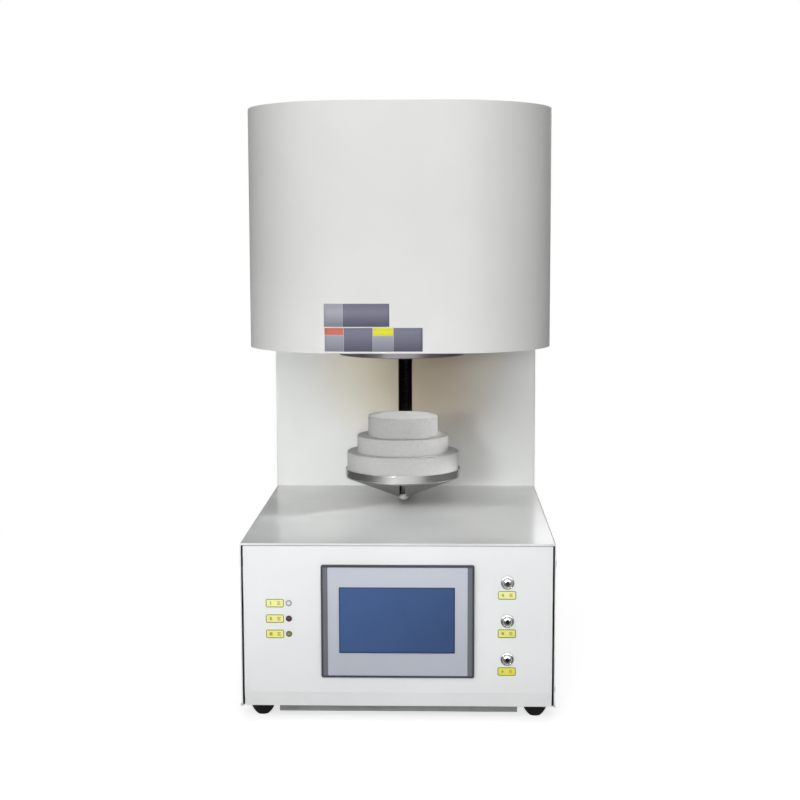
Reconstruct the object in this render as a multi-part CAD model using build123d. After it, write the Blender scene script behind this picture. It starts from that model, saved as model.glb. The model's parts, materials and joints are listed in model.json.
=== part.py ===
from build123d import *
import math
import os

# Bench-top sintering furnace whose stepped hearth is lifted into a chamber under the hood.
# Millimetres, +Z up, X to the right and Y to the back as seen from the front. The origin is
# the middle of the footprint, on the surface that the rubber feet stand on.

# Case
WIDTH = 420.0
BODY_DEPTH = 560.0
FOOT_HEIGHT = 22.0
BASE_HEIGHT = 223.0
LOADING_HEIGHT = 252.0
HOOD_HEIGHT = 327.0
SHEET = 1.5
PANEL_GAP = 2.6
BEND = 2.5
BUTTON_PROUD = 6.0
GLAND_PROUD = 24.0

FRONT = BUTTON_PROUD - (BODY_DEPTH + BUTTON_PROUD + GLAND_PROUD) / 2
BACK = FRONT + BODY_DEPTH
HALF = WIDTH / 2
INNER_HALF = HALF - SHEET
DECK = FOOT_HEIGHT + BASE_HEIGHT
HOOD_BOTTOM = DECK + LOADING_HEIGHT
TOP = HOOD_BOTTOM + HOOD_HEIGHT

# Hood and column
HOOD_FRONT = FRONT + 5.0
HOOD_CORNER = 150.0
COLUMN_FRONT = FRONT + 449.0
SLOT_WIDTH = 22.0
LIFT_CUT_HALF = 75.0
LIFT_CUT_FRONT = COLUMN_FRONT + 8.0
LIFT_CUT_BACK = BACK - 4.0
POST = 25.0
POST_X = HALF - 18.0
POST_YS = (COLUMN_FRONT + 18.0, BACK - 22.0)

# Base front panel and what sits in it
FRONT_HALF = INNER_HALF - PANEL_GAP
HEM = 3.0
HEM_GAP = 0.7
FRONT_TOP = DECK - HEM - HEM_GAP
FRONT_BEND_HEIGHT = 20.0
FRONT_BEND_DEPTH = 3.5
RETURN_FLANGE = 14.0
PAN_HALF = 160.5
PAN_FRONT = FRONT + 14.0
PAN_DROP = 11.0
PAN_FLOOR = FOOT_HEIGHT - PAN_DROP + SHEET
FOOT_X = 186.0
FOOT_INSET = 40.0
FOOT_RADIUS = 17.5
FOOT_FLAT = 8.0

TOUCH_Z = 139.7
TOUCH_WIDTH = 204.0
TOUCH_HEIGHT = 153.0
TOUCH_PROUD = 5.0
TOUCH_CORNER = 2.4
FACE_WIDTH = 186.0
FACE_HEIGHT = 147.0
SCREEN_X = -0.9
SCREEN_Z = 141.5
SCREEN_WIDTH = 154.5
SCREEN_HEIGHT = 90.0
TOUCH_BODY_DEPTH = 36.0

INDICATOR_X = -145.3
INDICATOR_ZS = (163.7, 142.5, 121.6)
INDICATOR_RADIUS = 4.2
LENS_RADIUS = 2.8
BUTTON_X = 146.0
BUTTON_ZS = (192.6, 140.5, 88.6)
BUTTON_RADIUS = 9.4
CAP_RADIUS = 6.3
BUTTON_TRAVEL = 2.5
TAG_WIDTH = 24.1
TAG_HEIGHT = 11.4
TAG_THICKNESS = 0.8
INDICATOR_TAG_X = -164.0
BUTTON_TAG_X = 145.4
BUTTON_TAG_DROP = 17.0

# Hearth at its lowest position
AXIS_Y = FRONT + 290.0
LIFT_TRAVEL = 183.0
APEX_Z = 253.3
CONE_SLOPE = 0.405
CONE_TIP = 6.5
CONE_FLOOR = APEX_Z + 5.0
NUT_RADIUS = 9.0
NUT_HEIGHT = 7.0
DISH_BOTTOM = 289.5
DISH_RADIUS = 87.2
CONE_RIM = DISH_RADIUS - 1
DISH_WALL = 1.5
DISH_RIM_HEIGHT = 11.5
LOWER_DISC_RADIUS = 84.4
MIDDLE_DISC_RADIUS = 69.0
TOP_DISC_RADIUS = 52.4
LOWER_DISC_TOP = 326.5
MIDDLE_DISC_TOP = 351.0
HEARTH_TOP = 380.6
DISC_EDGE = 1.2
DISH_FLOOR = DISH_BOTTOM + DISH_WALL
STUD_RADIUS = 2.8
HUB_RADIUS = 14.0
HUB_BOTTOM = 276.0
ARM_HALF = 5.5
ARM_BOTTOM = 262.0

# Furnace under the hood
RING_BORE = 90.0
RING_OUTER = 95.5
RING_DROP = 23.0
DISC_CLEARANCE = 3.0
INSULATION_RADIUS = 165.0
INSULATION_BOTTOM = HOOD_BOTTOM + SHEET
CHAMBER_RADIUS = 75.0
CHAMBER_HEIGHT = 125.0
ROOF_THICKNESS = 80.0
CHAMBER_FLOOR = HEARTH_TOP + LIFT_TRAVEL + 2.4
CHAMBER_ROOF = CHAMBER_FLOOR + CHAMBER_HEIGHT
ROOF_TOP = CHAMBER_ROOF + ROOF_THICKNESS
ELEMENT_PITCH = 66.0
ELEMENT_BEND = 15.0
HOT_RADIUS = 3.0
COLD_RADIUS = 6.0
ELEMENT_CLEARANCE = 9.0
ELEMENT_TOP = ROOF_TOP + 32.0
PROBE_PITCH = 68.0
PROBE_RADIUS = 4.0
PROBE_REACH = 40.0

# Lift drive in the column
DRIVE_Y = COLUMN_FRONT + 50.0
RUNNING = 0.05
END_PLAY = 0.4
ROD_RADIUS = 8.0
ROD_X = 45.0
SCREW_RADIUS = 8.0
JOURNAL_RADIUS = 6.0
BEARING_RADIUS = 16.0
BEARING_WIDTH = 12.0
BUSHING_RADIUS = 12.0
BLOCK_HALF = 62.0
BLOCK_HEIGHT = 20.0
LOWER_BLOCK = 200.0
UPPER_BLOCK = 515.0
CARRIAGE_BOTTOM = 262.0
CARRIAGE_HEIGHT = 60.0
CARRIAGE_DEPTH = 36.0
FRAME_PLATE = 6.0
FRAME_FRONT = BACK - 13.0
FRAME_BOTTOM = FOOT_HEIGHT + SHEET
FRAME_TOP = 545.0
MOTOR_SIZE = 86.0
MOTOR_BOTTOM = 50.0
MOTOR_TOP = 146.0
SHELF = 6.0
COUPLING_RADIUS = 14.0
COUPLING_BOTTOM = 160.0
COUPLING_TOP = 190.0

# Vents: slots through the back, the sides and the lid
SLOT_LENGTH = 46.0
SLOT_HEIGHT = 4.0
SLOT_STEP = 12.0
SIDE_VENT_LENGTH = 38.0
SIDE_VENT_STEP = 14.0
SIDE_VENT_ROWS = 9
SIDE_VENT_BOTTOM = 80.0
SIDE_VENT_YS = (BACK - 60.0, BACK - 112.0, BACK - 164.0)

# Power and cooling in the base
FAN_X = -120.0
FAN_Z = 135.0
FAN_SIZE = 92.0
FAN_DEPTH = 25.0
FAN_BORE = 43.0
FAN_GAP = 1.0
ROTOR_HUB = 19.0
FAN_SHAFT = 2.0
BLADES = 7
BREAKER_X = 150.0
BREAKER_Z = 120.0
BREAKER_WIDTH = 36.0
BREAKER_HEIGHT = 82.0
BREAKER_WINDOW = 46.0
RECESS_WIDTH = 24.0
RECESS_HEIGHT = 30.0
LEVER_PIVOT_Y = BACK - 12.0
LEVER_TILT = 25.0
LEVER_PIN = 2.0
LEVER_LENGTH = 20.0
GLAND_X = 150.0
GLAND_Z = 60.0
GLAND_RADIUS = 10.0
CABLE_RADIUS = 5.0
CORE_X = -75.0
CORE_Y = FRONT + 250.0
CORE_HALF_WIDTH = 75.0
CORE_HEIGHT = 125.0
CORE_HALF_DEPTH = 30.0
LEG_HALF = 15.0
YOKE = 25.0
COIL_HALF_WIDTH = 44.0
COIL_HALF_DEPTH = 58.0
SINK_X = (40.0, 130.0)
SINK_HALF_DEPTH = 50.0
SINK_BASE = 12.0
SINK_HEIGHT = 52.0
FINS = 10
FIN_THICKNESS = 3.0
MODULE_HEIGHT = 40.0
SCREW_HEAD_RADIUS = 3.6
SCREW_HEAD_HEIGHT = 1.9


def block(x_range, y_range, z_range):
    """Rectangular block between three pairs of limits."""
    low = (x_range[0], y_range[0], z_range[0])
    size = [high - start for start, high in (x_range, y_range, z_range)]
    return Pos(*low) * Box(*size, align=(Align.MIN, Align.MIN, Align.MIN))


def post(x, y, z_range, radius):
    """Upright cylinder between two heights."""
    height = z_range[1] - z_range[0]
    return Pos(x, y, z_range[0]) * Cylinder(radius, height, align=(Align.CENTER, Align.CENTER, Align.MIN))


def pin(x, z, y_range, radius):
    """Cylinder along Y between two depths."""
    depth = y_range[1] - y_range[0]
    stub = Cylinder(radius, depth, align=(Align.CENTER, Align.CENTER, Align.MIN))
    return Pos(x, y_range[0], z) * Rot(-90, 0, 0) * stub


def front_plate(x, z, width, height, y_range, corner):
    """Upright plate facing the front, with rounded corners."""
    plate = block((x - width / 2, x + width / 2), y_range, (z - height / 2, z + height / 2))
    return fillet(plate.edges().filter_by(Axis.Y), corner)


def spun_y(x, y, z, points):
    """Solid of revolution about an axis along Y, from (radius, forward distance) points."""
    profile = Plane.XY * make_face(Polyline(*points, close=True))
    return Pos(x, y, z) * Rot(90, 0, 0) * revolve(Plane.XZ * profile, Axis.Z)


def spun_z(x, y, points):
    """Solid of revolution about an upright axis, from (radius, height) points."""
    profile = make_face(Polyline(*points, close=True))
    return Pos(x, y, 0) * revolve(Plane.XZ * profile, Axis.Z)


def cap_arc(radius, edge, crown):
    """Arc from (radius, edge) to (0, crown), centred on the axis so that it spins to a dome."""
    rise = crown - edge
    sphere = (radius**2 + rise**2) / (2 * rise)
    half_angle = math.asin(radius / sphere) / 2
    middle = (sphere * math.sin(half_angle), crown - sphere + sphere * math.cos(half_angle))
    return ThreePointArc((radius, edge), middle, (0, crown))


def back_slots(x_values, z_values):
    """Cutters for the vents in the back sheets, one at every crossing of the grid."""
    half_length = SLOT_LENGTH / 2
    half_height = SLOT_HEIGHT / 2
    return [
        block((x - half_length, x + half_length), (BACK - 3, BACK + 3), (z - half_height, z + half_height))
        for x in x_values
        for z in z_values
    ]


def hood_form(inset, z_range, back):
    """Solid inside the hood's outline, inset from its outer face."""
    form = block((inset - HALF, HALF - inset), (HOOD_FRONT + inset, back), z_range)
    front_corners = form.edges().filter_by(Axis.Z).group_by(Axis.Y)[0]
    return fillet(front_corners, HOOD_CORNER - inset)


def base_tray():
    """Floor of the base, with the shallow pan that hangs between the feet."""
    pan_y = (PAN_FRONT, BACK - 12)
    floor = block((-INNER_HALF, INNER_HALF), (FRONT + 5.5, BACK - SHEET), (FOOT_HEIGHT, FOOT_HEIGHT + SHEET))
    pan = block((-PAN_HALF, PAN_HALF), pan_y, (FOOT_HEIGHT - PAN_DROP, FOOT_HEIGHT))
    inside = block(
        (SHEET - PAN_HALF, PAN_HALF - SHEET),
        (pan_y[0] + SHEET, pan_y[1] - SHEET),
        (PAN_FLOOR, FOOT_HEIGHT + SHEET + 1),
    )
    return floor + pan - inside


def base_cover():
    """Deck and both sides of the base, folded from one sheet."""
    outer = block((-HALF, HALF), (FRONT, BACK), (FOOT_HEIGHT, DECK))
    outer = fillet(outer.edges().filter_by(Axis.Y).group_by(Axis.Z)[-1], BEND)
    inside = block((-INNER_HALF, INNER_HALF), (FRONT - 1, BACK + 1), (FOOT_HEIGHT - 1, DECK - SHEET))
    cover = outer - inside
    cover += block((-INNER_HALF, INNER_HALF), (FRONT, FRONT + SHEET), (DECK - HEM, DECK - SHEET))
    for side in (-1, 1):
        edges = sorted((side * HALF, side * (HALF + 2)))
        cover += block(edges, (FRONT, BACK), (FOOT_HEIGHT, FOOT_HEIGHT + SHEET))
    cover -= block((-LIFT_CUT_HALF, LIFT_CUT_HALF), (LIFT_CUT_FRONT, LIFT_CUT_BACK), (DECK - 5, DECK + 5))
    hole = POST / 2 + 0.5
    for x in (-POST_X, POST_X):
        for y in POST_YS:
            cover -= block((x - hole, x + hole), (y - hole, y + hole), (DECK - 5, DECK + 5))
    half_length = SIDE_VENT_LENGTH / 2
    half_height = SLOT_HEIGHT / 2
    for row in range(SIDE_VENT_ROWS):
        z = SIDE_VENT_BOTTOM + SIDE_VENT_STEP * row
        for y in SIDE_VENT_YS:
            y_range = (y - half_length, y + half_length)
            cover -= block((-HALF - 5, HALF + 5), y_range, (z - half_height, z + half_height))
    return cover


def base_front_panel():
    """Front of the base, with its lower edge bent back and openings for the controls."""
    bottom_y = FRONT + FRONT_BEND_DEPTH
    bend_z = FOOT_HEIGHT + FRONT_BEND_HEIGHT
    points = [
        (FRONT, FRONT_TOP),
        (FRONT, bend_z),
        (bottom_y, FOOT_HEIGHT),
        (bottom_y + SHEET, FOOT_HEIGHT),
        (FRONT + SHEET, bend_z),
        (FRONT + SHEET, FRONT_TOP - SHEET),
        (FRONT + RETURN_FLANGE, FRONT_TOP - SHEET),
        (FRONT + RETURN_FLANGE, FRONT_TOP),
    ]
    profile = Plane.YZ * make_face(Polyline(*points, close=True))
    panel = extrude(profile, FRONT_HALF, both=True)
    flange_z = (bend_z, FRONT_TOP - SHEET)
    for x_range in ((-FRONT_HALF, SHEET - FRONT_HALF), (FRONT_HALF - SHEET, FRONT_HALF)):
        panel += block(x_range, (FRONT + SHEET, FRONT + RETURN_FLANGE), flange_z)
    panel -= block((-96, 96), (FRONT - 1, FRONT + 3), (TOUCH_Z - 69, TOUCH_Z + 69))
    for z in INDICATOR_ZS:
        panel -= pin(INDICATOR_X, z, (FRONT - 1, FRONT + 3), LENS_RADIUS + 0.6)
    for z in BUTTON_ZS:
        panel -= pin(BUTTON_X, z, (FRONT - 1, FRONT + 3), BUTTON_RADIUS - 1)
    return panel


def base_rear_panel():
    """Back of the base: fan grille, vents, breaker window and cable entry."""
    panel = block((-INNER_HALF, INNER_HALF), (BACK - SHEET, BACK), (FOOT_HEIGHT, DECK - SHEET))
    reach = FAN_BORE - 2
    for step in range(-4, 5):
        offset = 9.0 * step
        half = math.sqrt(reach**2 - offset**2)
        z = FAN_Z + offset
        panel -= block((FAN_X - half, FAN_X + half), (BACK - 3, BACK + 3), (z - 3, z + 3))
    for cutter in back_slots((0, 58), [60 + SLOT_STEP * row for row in range(12)]):
        panel -= cutter
    panel -= block(
        (BREAKER_X - BREAKER_WIDTH / 2, BREAKER_X + BREAKER_WIDTH / 2),
        (BACK - 3, BACK + 3),
        (BREAKER_Z - BREAKER_WINDOW / 2, BREAKER_Z + BREAKER_WINDOW / 2),
    )
    return panel - pin(GLAND_X, GLAND_Z, (BACK - 3, BACK + 3), GLAND_RADIUS)


def rubber_feet():
    """Four domed feet with flat soles."""
    side = Line((0, 0), (FOOT_FLAT, 0))
    dome = ThreePointArc((FOOT_FLAT, 0), (14.0, 7.5), (FOOT_RADIUS, 18.0))
    rest = Polyline((FOOT_RADIUS, 18.0), (FOOT_RADIUS, FOOT_HEIGHT), (0, FOOT_HEIGHT), (0, 0))
    foot = revolve(Plane.XZ * make_face([side, dome, rest]), Axis.Z)
    return [
        Pos(x, y, 0) * foot
        for x in (-FOOT_X, FOOT_X)
        for y in (FRONT + FOOT_INSET, BACK - FOOT_INSET)
    ]


def touch_panel_bezel():
    """Dark outer frame of the touch panel, with a shallow recess for its face."""
    bezel = front_plate(0, TOUCH_Z, TOUCH_WIDTH, TOUCH_HEIGHT, (FRONT - TOUCH_PROUD, FRONT), TOUCH_CORNER)
    bezel = chamfer(bezel.faces().sort_by(Axis.Y)[0].edges(), 1.0)
    recess = front_plate(
        0, TOUCH_Z, FACE_WIDTH + 0.4, FACE_HEIGHT + 0.4, (FRONT - TOUCH_PROUD - 1, FRONT - 1), 1.8
    )
    return bezel - recess


def touch_panel_face():
    """Light face plate round the screen."""
    face = front_plate(0, TOUCH_Z, FACE_WIDTH, FACE_HEIGHT, (FRONT - 4.4, FRONT - 1), 1.6)
    window = front_plate(SCREEN_X, SCREEN_Z, SCREEN_WIDTH, SCREEN_HEIGHT, (FRONT - 6, FRONT), 1)
    return face - window


def touch_panel_glass():
    """Screen glass, set a little behind the face."""
    size = (SCREEN_WIDTH - 0.3, SCREEN_HEIGHT - 0.3)
    return front_plate(SCREEN_X, SCREEN_Z, *size, (FRONT - 3.4, FRONT - 1), 0.8)


def touch_panel_body():
    """Housing of the touch panel behind the front panel."""
    return front_plate(0, TOUCH_Z, 190, 136, (FRONT, FRONT + TOUCH_BODY_DEPTH), 3)


def indicator_bezels():
    """Three small round lamp holders."""
    points = [
        (LENS_RADIUS + 0.1, -9),
        (LENS_RADIUS + 0.5, -9),
        (LENS_RADIUS + 0.5, 0),
        (INDICATOR_RADIUS, 0),
        (INDICATOR_RADIUS, 0.6),
        (INDICATOR_RADIUS - 0.6, 1.6),
        (LENS_RADIUS + 0.1, 1.6),
    ]
    return [spun_y(INDICATOR_X, FRONT, z, points) for z in INDICATOR_ZS]


def indicator_lens(z):
    """Domed lamp lens."""
    dome = cap_arc(LENS_RADIUS, 1.2, 2.9)
    rest = Polyline((0, 2.9), (0, -8), (LENS_RADIUS, -8), (LENS_RADIUS, 1.2))
    profile = make_face([dome, rest])
    return Pos(INDICATOR_X, FRONT, z) * Rot(90, 0, 0) * revolve(Plane.XZ * profile, Axis.Z)


def label_tags():
    """Six small plates beside the lamps and under the buttons."""
    places = [(INDICATOR_TAG_X, z) for z in INDICATOR_ZS]
    places += [(BUTTON_TAG_X, z - BUTTON_TAG_DROP) for z in BUTTON_ZS]
    depth = (FRONT - TAG_THICKNESS, FRONT)
    return [front_plate(x, z, TAG_WIDTH, TAG_HEIGHT, depth, 1) for x, z in places]


def button_bezels():
    """Three threaded button sleeves with domed flanges."""
    bore = CAP_RADIUS + 0.3
    points = [
        (bore, -11),
        (BUTTON_RADIUS - 1.1, -11),
        (BUTTON_RADIUS - 1.1, 0),
        (BUTTON_RADIUS, 0),
        (BUTTON_RADIUS, 1.2),
        (BUTTON_RADIUS - 0.5, 2.2),
        (bore + 0.5, 3.2),
        (bore, 2.9),
    ]
    return [spun_y(BUTTON_X, FRONT, z, points) for z in BUTTON_ZS]


def button_cap(z):
    """Domed button cap with a shallow dimple in its middle."""
    dome = ThreePointArc((CAP_RADIUS, 3.4), (CAP_RADIUS * 0.8, 5.0), (2.6, BUTTON_PROUD))
    dimple = Line((2.6, BUTTON_PROUD), (0, BUTTON_PROUD - 0.6))
    stem = Polyline((0, BUTTON_PROUD - 0.6), (0, -8), (CAP_RADIUS, -8), (CAP_RADIUS, 3.4))
    profile = make_face([dome, dimple, stem])
    return Pos(BUTTON_X, FRONT, z) * Rot(90, 0, 0) * revolve(Plane.XZ * profile, Axis.Z)


def button_switches():
    """Three switch blocks behind the button sleeves."""
    return [pin(BUTTON_X, z, (FRONT + 11, FRONT + 34), BUTTON_RADIUS - 1) for z in BUTTON_ZS]


def column_cover():
    """Column front and sides, folded from one sheet, with the slot for the lift arm."""
    outer = block((-HALF, HALF), (COLUMN_FRONT, BACK), (DECK, HOOD_BOTTOM))
    outer = fillet(outer.edges().filter_by(Axis.Z).group_by(Axis.Y)[0], BEND)
    inside = block((-INNER_HALF, INNER_HALF), (COLUMN_FRONT + SHEET, BACK + 1), (DECK - 1, HOOD_BOTTOM + 1))
    slot = block(
        (-SLOT_WIDTH / 2, SLOT_WIDTH / 2),
        (COLUMN_FRONT - 1, COLUMN_FRONT + 3),
        (DECK + 6, HOOD_BOTTOM + 1),
    )
    return outer - inside - slot


def rear_cover():
    """Back of the column and hood in one sheet, with vents."""
    cover = block((-INNER_HALF, INNER_HALF), (BACK - SHEET, BACK), (DECK, TOP - SHEET))
    upper = [TOP - 40 - SLOT_STEP * row for row in range(10)]
    lower = [DECK + 40 + SLOT_STEP * row for row in range(6)]
    for cutter in back_slots((-120, -60, 0, 60, 120), upper) + back_slots((-90, 0, 90), lower):
        cover -= cutter
    return cover


def frame_posts():
    """Square tubes that carry the hood on the base floor."""
    posts = []
    z_range = (FOOT_HEIGHT + SHEET, HOOD_BOTTOM)
    for x in (-POST_X, POST_X):
        for y in POST_YS:
            outer = block((x - POST / 2, x + POST / 2), (y - POST / 2, y + POST / 2), z_range)
            inner = block(
                (x - POST / 2 + 2, x + POST / 2 - 2),
                (y - POST / 2 + 2, y + POST / 2 - 2),
                (z_range[0] - 1, z_range[1] + 1),
            )
            posts.append(outer - inner)
    return posts


def hood_shell():
    """Wrap-round front and sides of the hood."""
    z_range = (HOOD_BOTTOM, TOP - SHEET)
    inside = hood_form(SHEET, (HOOD_BOTTOM - 1, TOP + 1), BACK + 1)
    return hood_form(0, z_range, BACK) - inside


def hood_top():
    """Lid of the hood with rounded upper edge and a row of vents."""
    lid = hood_form(0, (TOP - SHEET, TOP), BACK)
    lid = fillet(lid.faces().sort_by(Axis.Z)[-1].edges(), SHEET * 0.7)
    for row in range(6):
        y = BACK - 60 - 14 * row
        for x in (-90, -30, 30, 90):
            x_range = (x - SLOT_LENGTH / 2, x + SLOT_LENGTH / 2)
            lid -= block(x_range, (y - SLOT_HEIGHT / 2, y + SLOT_HEIGHT / 2), (TOP - 5, TOP + 5))
    return lid


def hood_bottom_plate():
    """Floor of the hood, open at the throat and over the lift."""
    plate = hood_form(SHEET, (HOOD_BOTTOM, HOOD_BOTTOM + SHEET), BACK - SHEET)
    plate -= post(0, AXIS_Y, (HOOD_BOTTOM - 5, HOOD_BOTTOM + 5), RING_BORE)
    cut_y = (AXIS_Y + INSULATION_RADIUS + 4, LIFT_CUT_BACK)
    return plate - block((-LIFT_CUT_HALF, LIFT_CUT_HALF), cut_y, (HOOD_BOTTOM - 5, HOOD_BOTTOM + 5))


def throat_ring():
    """Flanged steel ring that the hearth dish closes."""
    flange_radius = RING_OUTER + 9
    points = [
        (RING_BORE, HOOD_BOTTOM - RING_DROP),
        (RING_OUTER, HOOD_BOTTOM - RING_DROP),
        (RING_OUTER, HOOD_BOTTOM - 3),
        (flange_radius, HOOD_BOTTOM - 3),
        (flange_radius, HOOD_BOTTOM),
        (RING_BORE, HOOD_BOTTOM),
    ]
    return spun_z(0, AXIS_Y, points)


def insulation_throat():
    """Lowest fibre block, bored in steps to fit round the raised hearth."""
    lower = LOWER_DISC_TOP + LIFT_TRAVEL + DISC_CLEARANCE
    middle = MIDDLE_DISC_TOP + LIFT_TRAVEL + DISC_CLEARANCE
    points = [
        (LOWER_DISC_RADIUS + DISC_CLEARANCE, INSULATION_BOTTOM),
        (INSULATION_RADIUS, INSULATION_BOTTOM),
        (INSULATION_RADIUS, CHAMBER_FLOOR),
        (TOP_DISC_RADIUS + DISC_CLEARANCE, CHAMBER_FLOOR),
        (TOP_DISC_RADIUS + DISC_CLEARANCE, middle),
        (MIDDLE_DISC_RADIUS + DISC_CLEARANCE, middle),
        (MIDDLE_DISC_RADIUS + DISC_CLEARANCE, lower),
        (LOWER_DISC_RADIUS + DISC_CLEARANCE, lower),
    ]
    return spun_z(0, AXIS_Y, points)


def insulation_wall():
    """Fibre cylinder round the chamber."""
    z_range = (CHAMBER_FLOOR, CHAMBER_ROOF)
    return post(0, AXIS_Y, z_range, INSULATION_RADIUS) - post(0, AXIS_Y, z_range, CHAMBER_RADIUS)


def element_places():
    """Where each heating element's frame of reference lies round the hearth axis."""
    return [Pos(0, AXIS_Y, 0) * Rot(0, 0, angle) * Pos(ELEMENT_PITCH, 0, 0) for angle in (0, 90, 180, 270)]


def insulation_roof():
    """Fibre disc over the chamber, drilled for the elements and the probe."""
    roof = post(0, AXIS_Y, (CHAMBER_ROOF, ROOF_TOP), INSULATION_RADIUS)
    for place in element_places():
        for side in (-ELEMENT_BEND, ELEMENT_BEND):
            roof -= place * post(0, side, (CHAMBER_ROOF - 1, ROOF_TOP + 1), COLD_RADIUS + 0.6)
    hole = post(PROBE_PITCH, 0, (CHAMBER_ROOF - 1, ROOF_TOP + 1), PROBE_RADIUS + 0.4)
    return roof - Pos(0, AXIS_Y, 0) * Rot(0, 0, 45) * hole


def furnace_casing():
    """Inner steel can round the fibre."""
    z_range = (INSULATION_BOTTOM, ROOF_TOP)
    outer = post(0, AXIS_Y, z_range, INSULATION_RADIUS + 0.4 + SHEET)
    return outer - post(0, AXIS_Y, z_range, INSULATION_RADIUS + 0.4)


def heating_elements():
    """Four U-shaped elements that hang through the roof."""
    low = CHAMBER_FLOOR + ELEMENT_CLEARANCE + HOT_RADIUS + ELEMENT_BEND
    shoulder = CHAMBER_ROOF + 8
    bend = Pos(0, 0, low) * Rot(0, 90, 0) * Torus(ELEMENT_BEND, HOT_RADIUS)
    bend = bend & block((-10, 10), (-30, 30), (low - 30, low))
    element = bend
    for side in (-ELEMENT_BEND, ELEMENT_BEND):
        element += post(0, side, (low, shoulder), HOT_RADIUS)
        element += post(0, side, (shoulder, ELEMENT_TOP), COLD_RADIUS)
    return [place * element for place in element_places()]


def element_clamps():
    """Ceramic clamps that hold the elements' cold ends on the roof."""
    clamp = block((-14, 14), (-30, 30), (ROOF_TOP, ROOF_TOP + 16))
    for side in (-ELEMENT_BEND, ELEMENT_BEND):
        clamp -= post(0, side, (ROOF_TOP - 1, ROOF_TOP + 20), COLD_RADIUS)
    return [place * clamp for place in element_places()]


def thermocouple():
    """Sheathed probe with its connection head."""
    sheath = post(PROBE_PITCH, 0, (CHAMBER_ROOF - PROBE_REACH, ROOF_TOP + 6), PROBE_RADIUS)
    head = post(PROBE_PITCH, 0, (ROOF_TOP + 6, ROOF_TOP + 26), 10)
    return Pos(0, AXIS_Y, 0) * Rot(0, 0, 45) * (sheath + head)


def hearth_disc(radius, z_range):
    """Fibre disc of the stepped hearth."""
    disc = post(0, AXIS_Y, z_range, radius)
    return fillet(disc.edges().filter_by(GeomType.CIRCLE).group_by(Axis.Z)[-1], DISC_EDGE)


def hearth_dish():
    """Turned metal dish that carries the fibre discs."""
    dish = post(0, AXIS_Y, (DISH_BOTTOM, DISH_BOTTOM + DISH_RIM_HEIGHT), DISH_RADIUS)
    dish -= post(0, AXIS_Y, (DISH_FLOOR, TOP), DISH_RADIUS - DISH_WALL)
    return dish - post(0, AXIS_Y, (DISH_BOTTOM - 1, DISH_FLOOR + 1), STUD_RADIUS)


def cone_height(radius):
    """Height of the cone's outer face at a radius."""
    return APEX_Z + CONE_SLOPE * radius


def hearth_cone():
    """Thin conical pan under the dish, open at the back for the arm and slit at the front."""
    points = [
        (CONE_TIP, cone_height(CONE_TIP)),
        (CONE_RIM, cone_height(CONE_RIM)),
        (CONE_RIM, DISH_BOTTOM),
        (CONE_RIM - SHEET, DISH_BOTTOM),
        (CONE_TIP + 2, CONE_FLOOR + 2),
        (STUD_RADIUS, CONE_FLOOR + 2),
        (STUD_RADIUS, CONE_FLOOR),
        (CONE_TIP, CONE_FLOOR),
    ]
    cone = spun_z(0, AXIS_Y, points)
    arm_slot = ARM_HALF + 1.5
    cone -= block((-arm_slot, arm_slot), (AXIS_Y + 12, AXIS_Y + 100), (ARM_BOTTOM - 1.5, DISH_BOTTOM + 1))
    return cone - block((-4.5, 4.5), (AXIS_Y - CONE_RIM + 6, AXIS_Y - 9), (APEX_Z, DISH_BOTTOM + 1))


def hearth_stud():
    """Bright stud down the middle of the dish."""
    return post(0, AXIS_Y, (APEX_Z + 2, DISH_FLOOR), STUD_RADIUS)


def hearth_dome_nut():
    """Domed nut that closes the cone's tip."""
    edge = cone_height(NUT_RADIUS)
    crown = edge - NUT_HEIGHT
    dome = cap_arc(NUT_RADIUS, edge, crown)
    neck = CONE_TIP - 0.2
    shoulder = cone_height(CONE_TIP) - 0.1
    rest = Polyline((0, crown), (0, CONE_FLOOR), (neck, CONE_FLOOR), (neck, shoulder), (NUT_RADIUS, edge))
    nut = Pos(0, AXIS_Y, 0) * revolve(Plane.XZ * make_face([dome, rest]), Axis.Z)
    return nut - post(0, AXIS_Y, (APEX_Z + 2, CONE_FLOOR + 1), STUD_RADIUS)


def lift_arm():
    """Blade arm from the carriage through the column slot to the hub under the dish."""
    reach = (AXIS_Y, DRIVE_Y - CARRIAGE_DEPTH / 2)
    blade = block((-ARM_HALF, ARM_HALF), reach, (ARM_BOTTOM, DISH_BOTTOM - 0.5))
    blade -= post(0, AXIS_Y, (ARM_BOTTOM - 1, HUB_BOTTOM), HUB_RADIUS)
    hub = post(0, AXIS_Y, (HUB_BOTTOM, DISH_BOTTOM), HUB_RADIUS)
    return blade + hub - post(0, AXIS_Y, (HUB_BOTTOM - 1, DISH_BOTTOM + 1), STUD_RADIUS)


def lift_carriage():
    """Block that slides on the guide rods, bored for its bushings and nut."""
    z_range = (CARRIAGE_BOTTOM, CARRIAGE_BOTTOM + CARRIAGE_HEIGHT)
    depth = (DRIVE_Y - CARRIAGE_DEPTH / 2, DRIVE_Y + CARRIAGE_DEPTH / 2)
    carriage = block((-BLOCK_HALF, BLOCK_HALF), depth, z_range)
    for x in (-ROD_X, ROD_X):
        carriage -= post(x, DRIVE_Y, z_range, BUSHING_RADIUS)
    return carriage - post(0, DRIVE_Y, z_range, SCREW_RADIUS + 5)


def carriage_bushings():
    """Two long bronze bushings in the carriage."""
    z_range = (CARRIAGE_BOTTOM, CARRIAGE_BOTTOM + CARRIAGE_HEIGHT)
    return [
        post(x, DRIVE_Y, z_range, BUSHING_RADIUS) - post(x, DRIVE_Y, z_range, ROD_RADIUS + RUNNING)
        for x in (-ROD_X, ROD_X)
    ]


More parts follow.
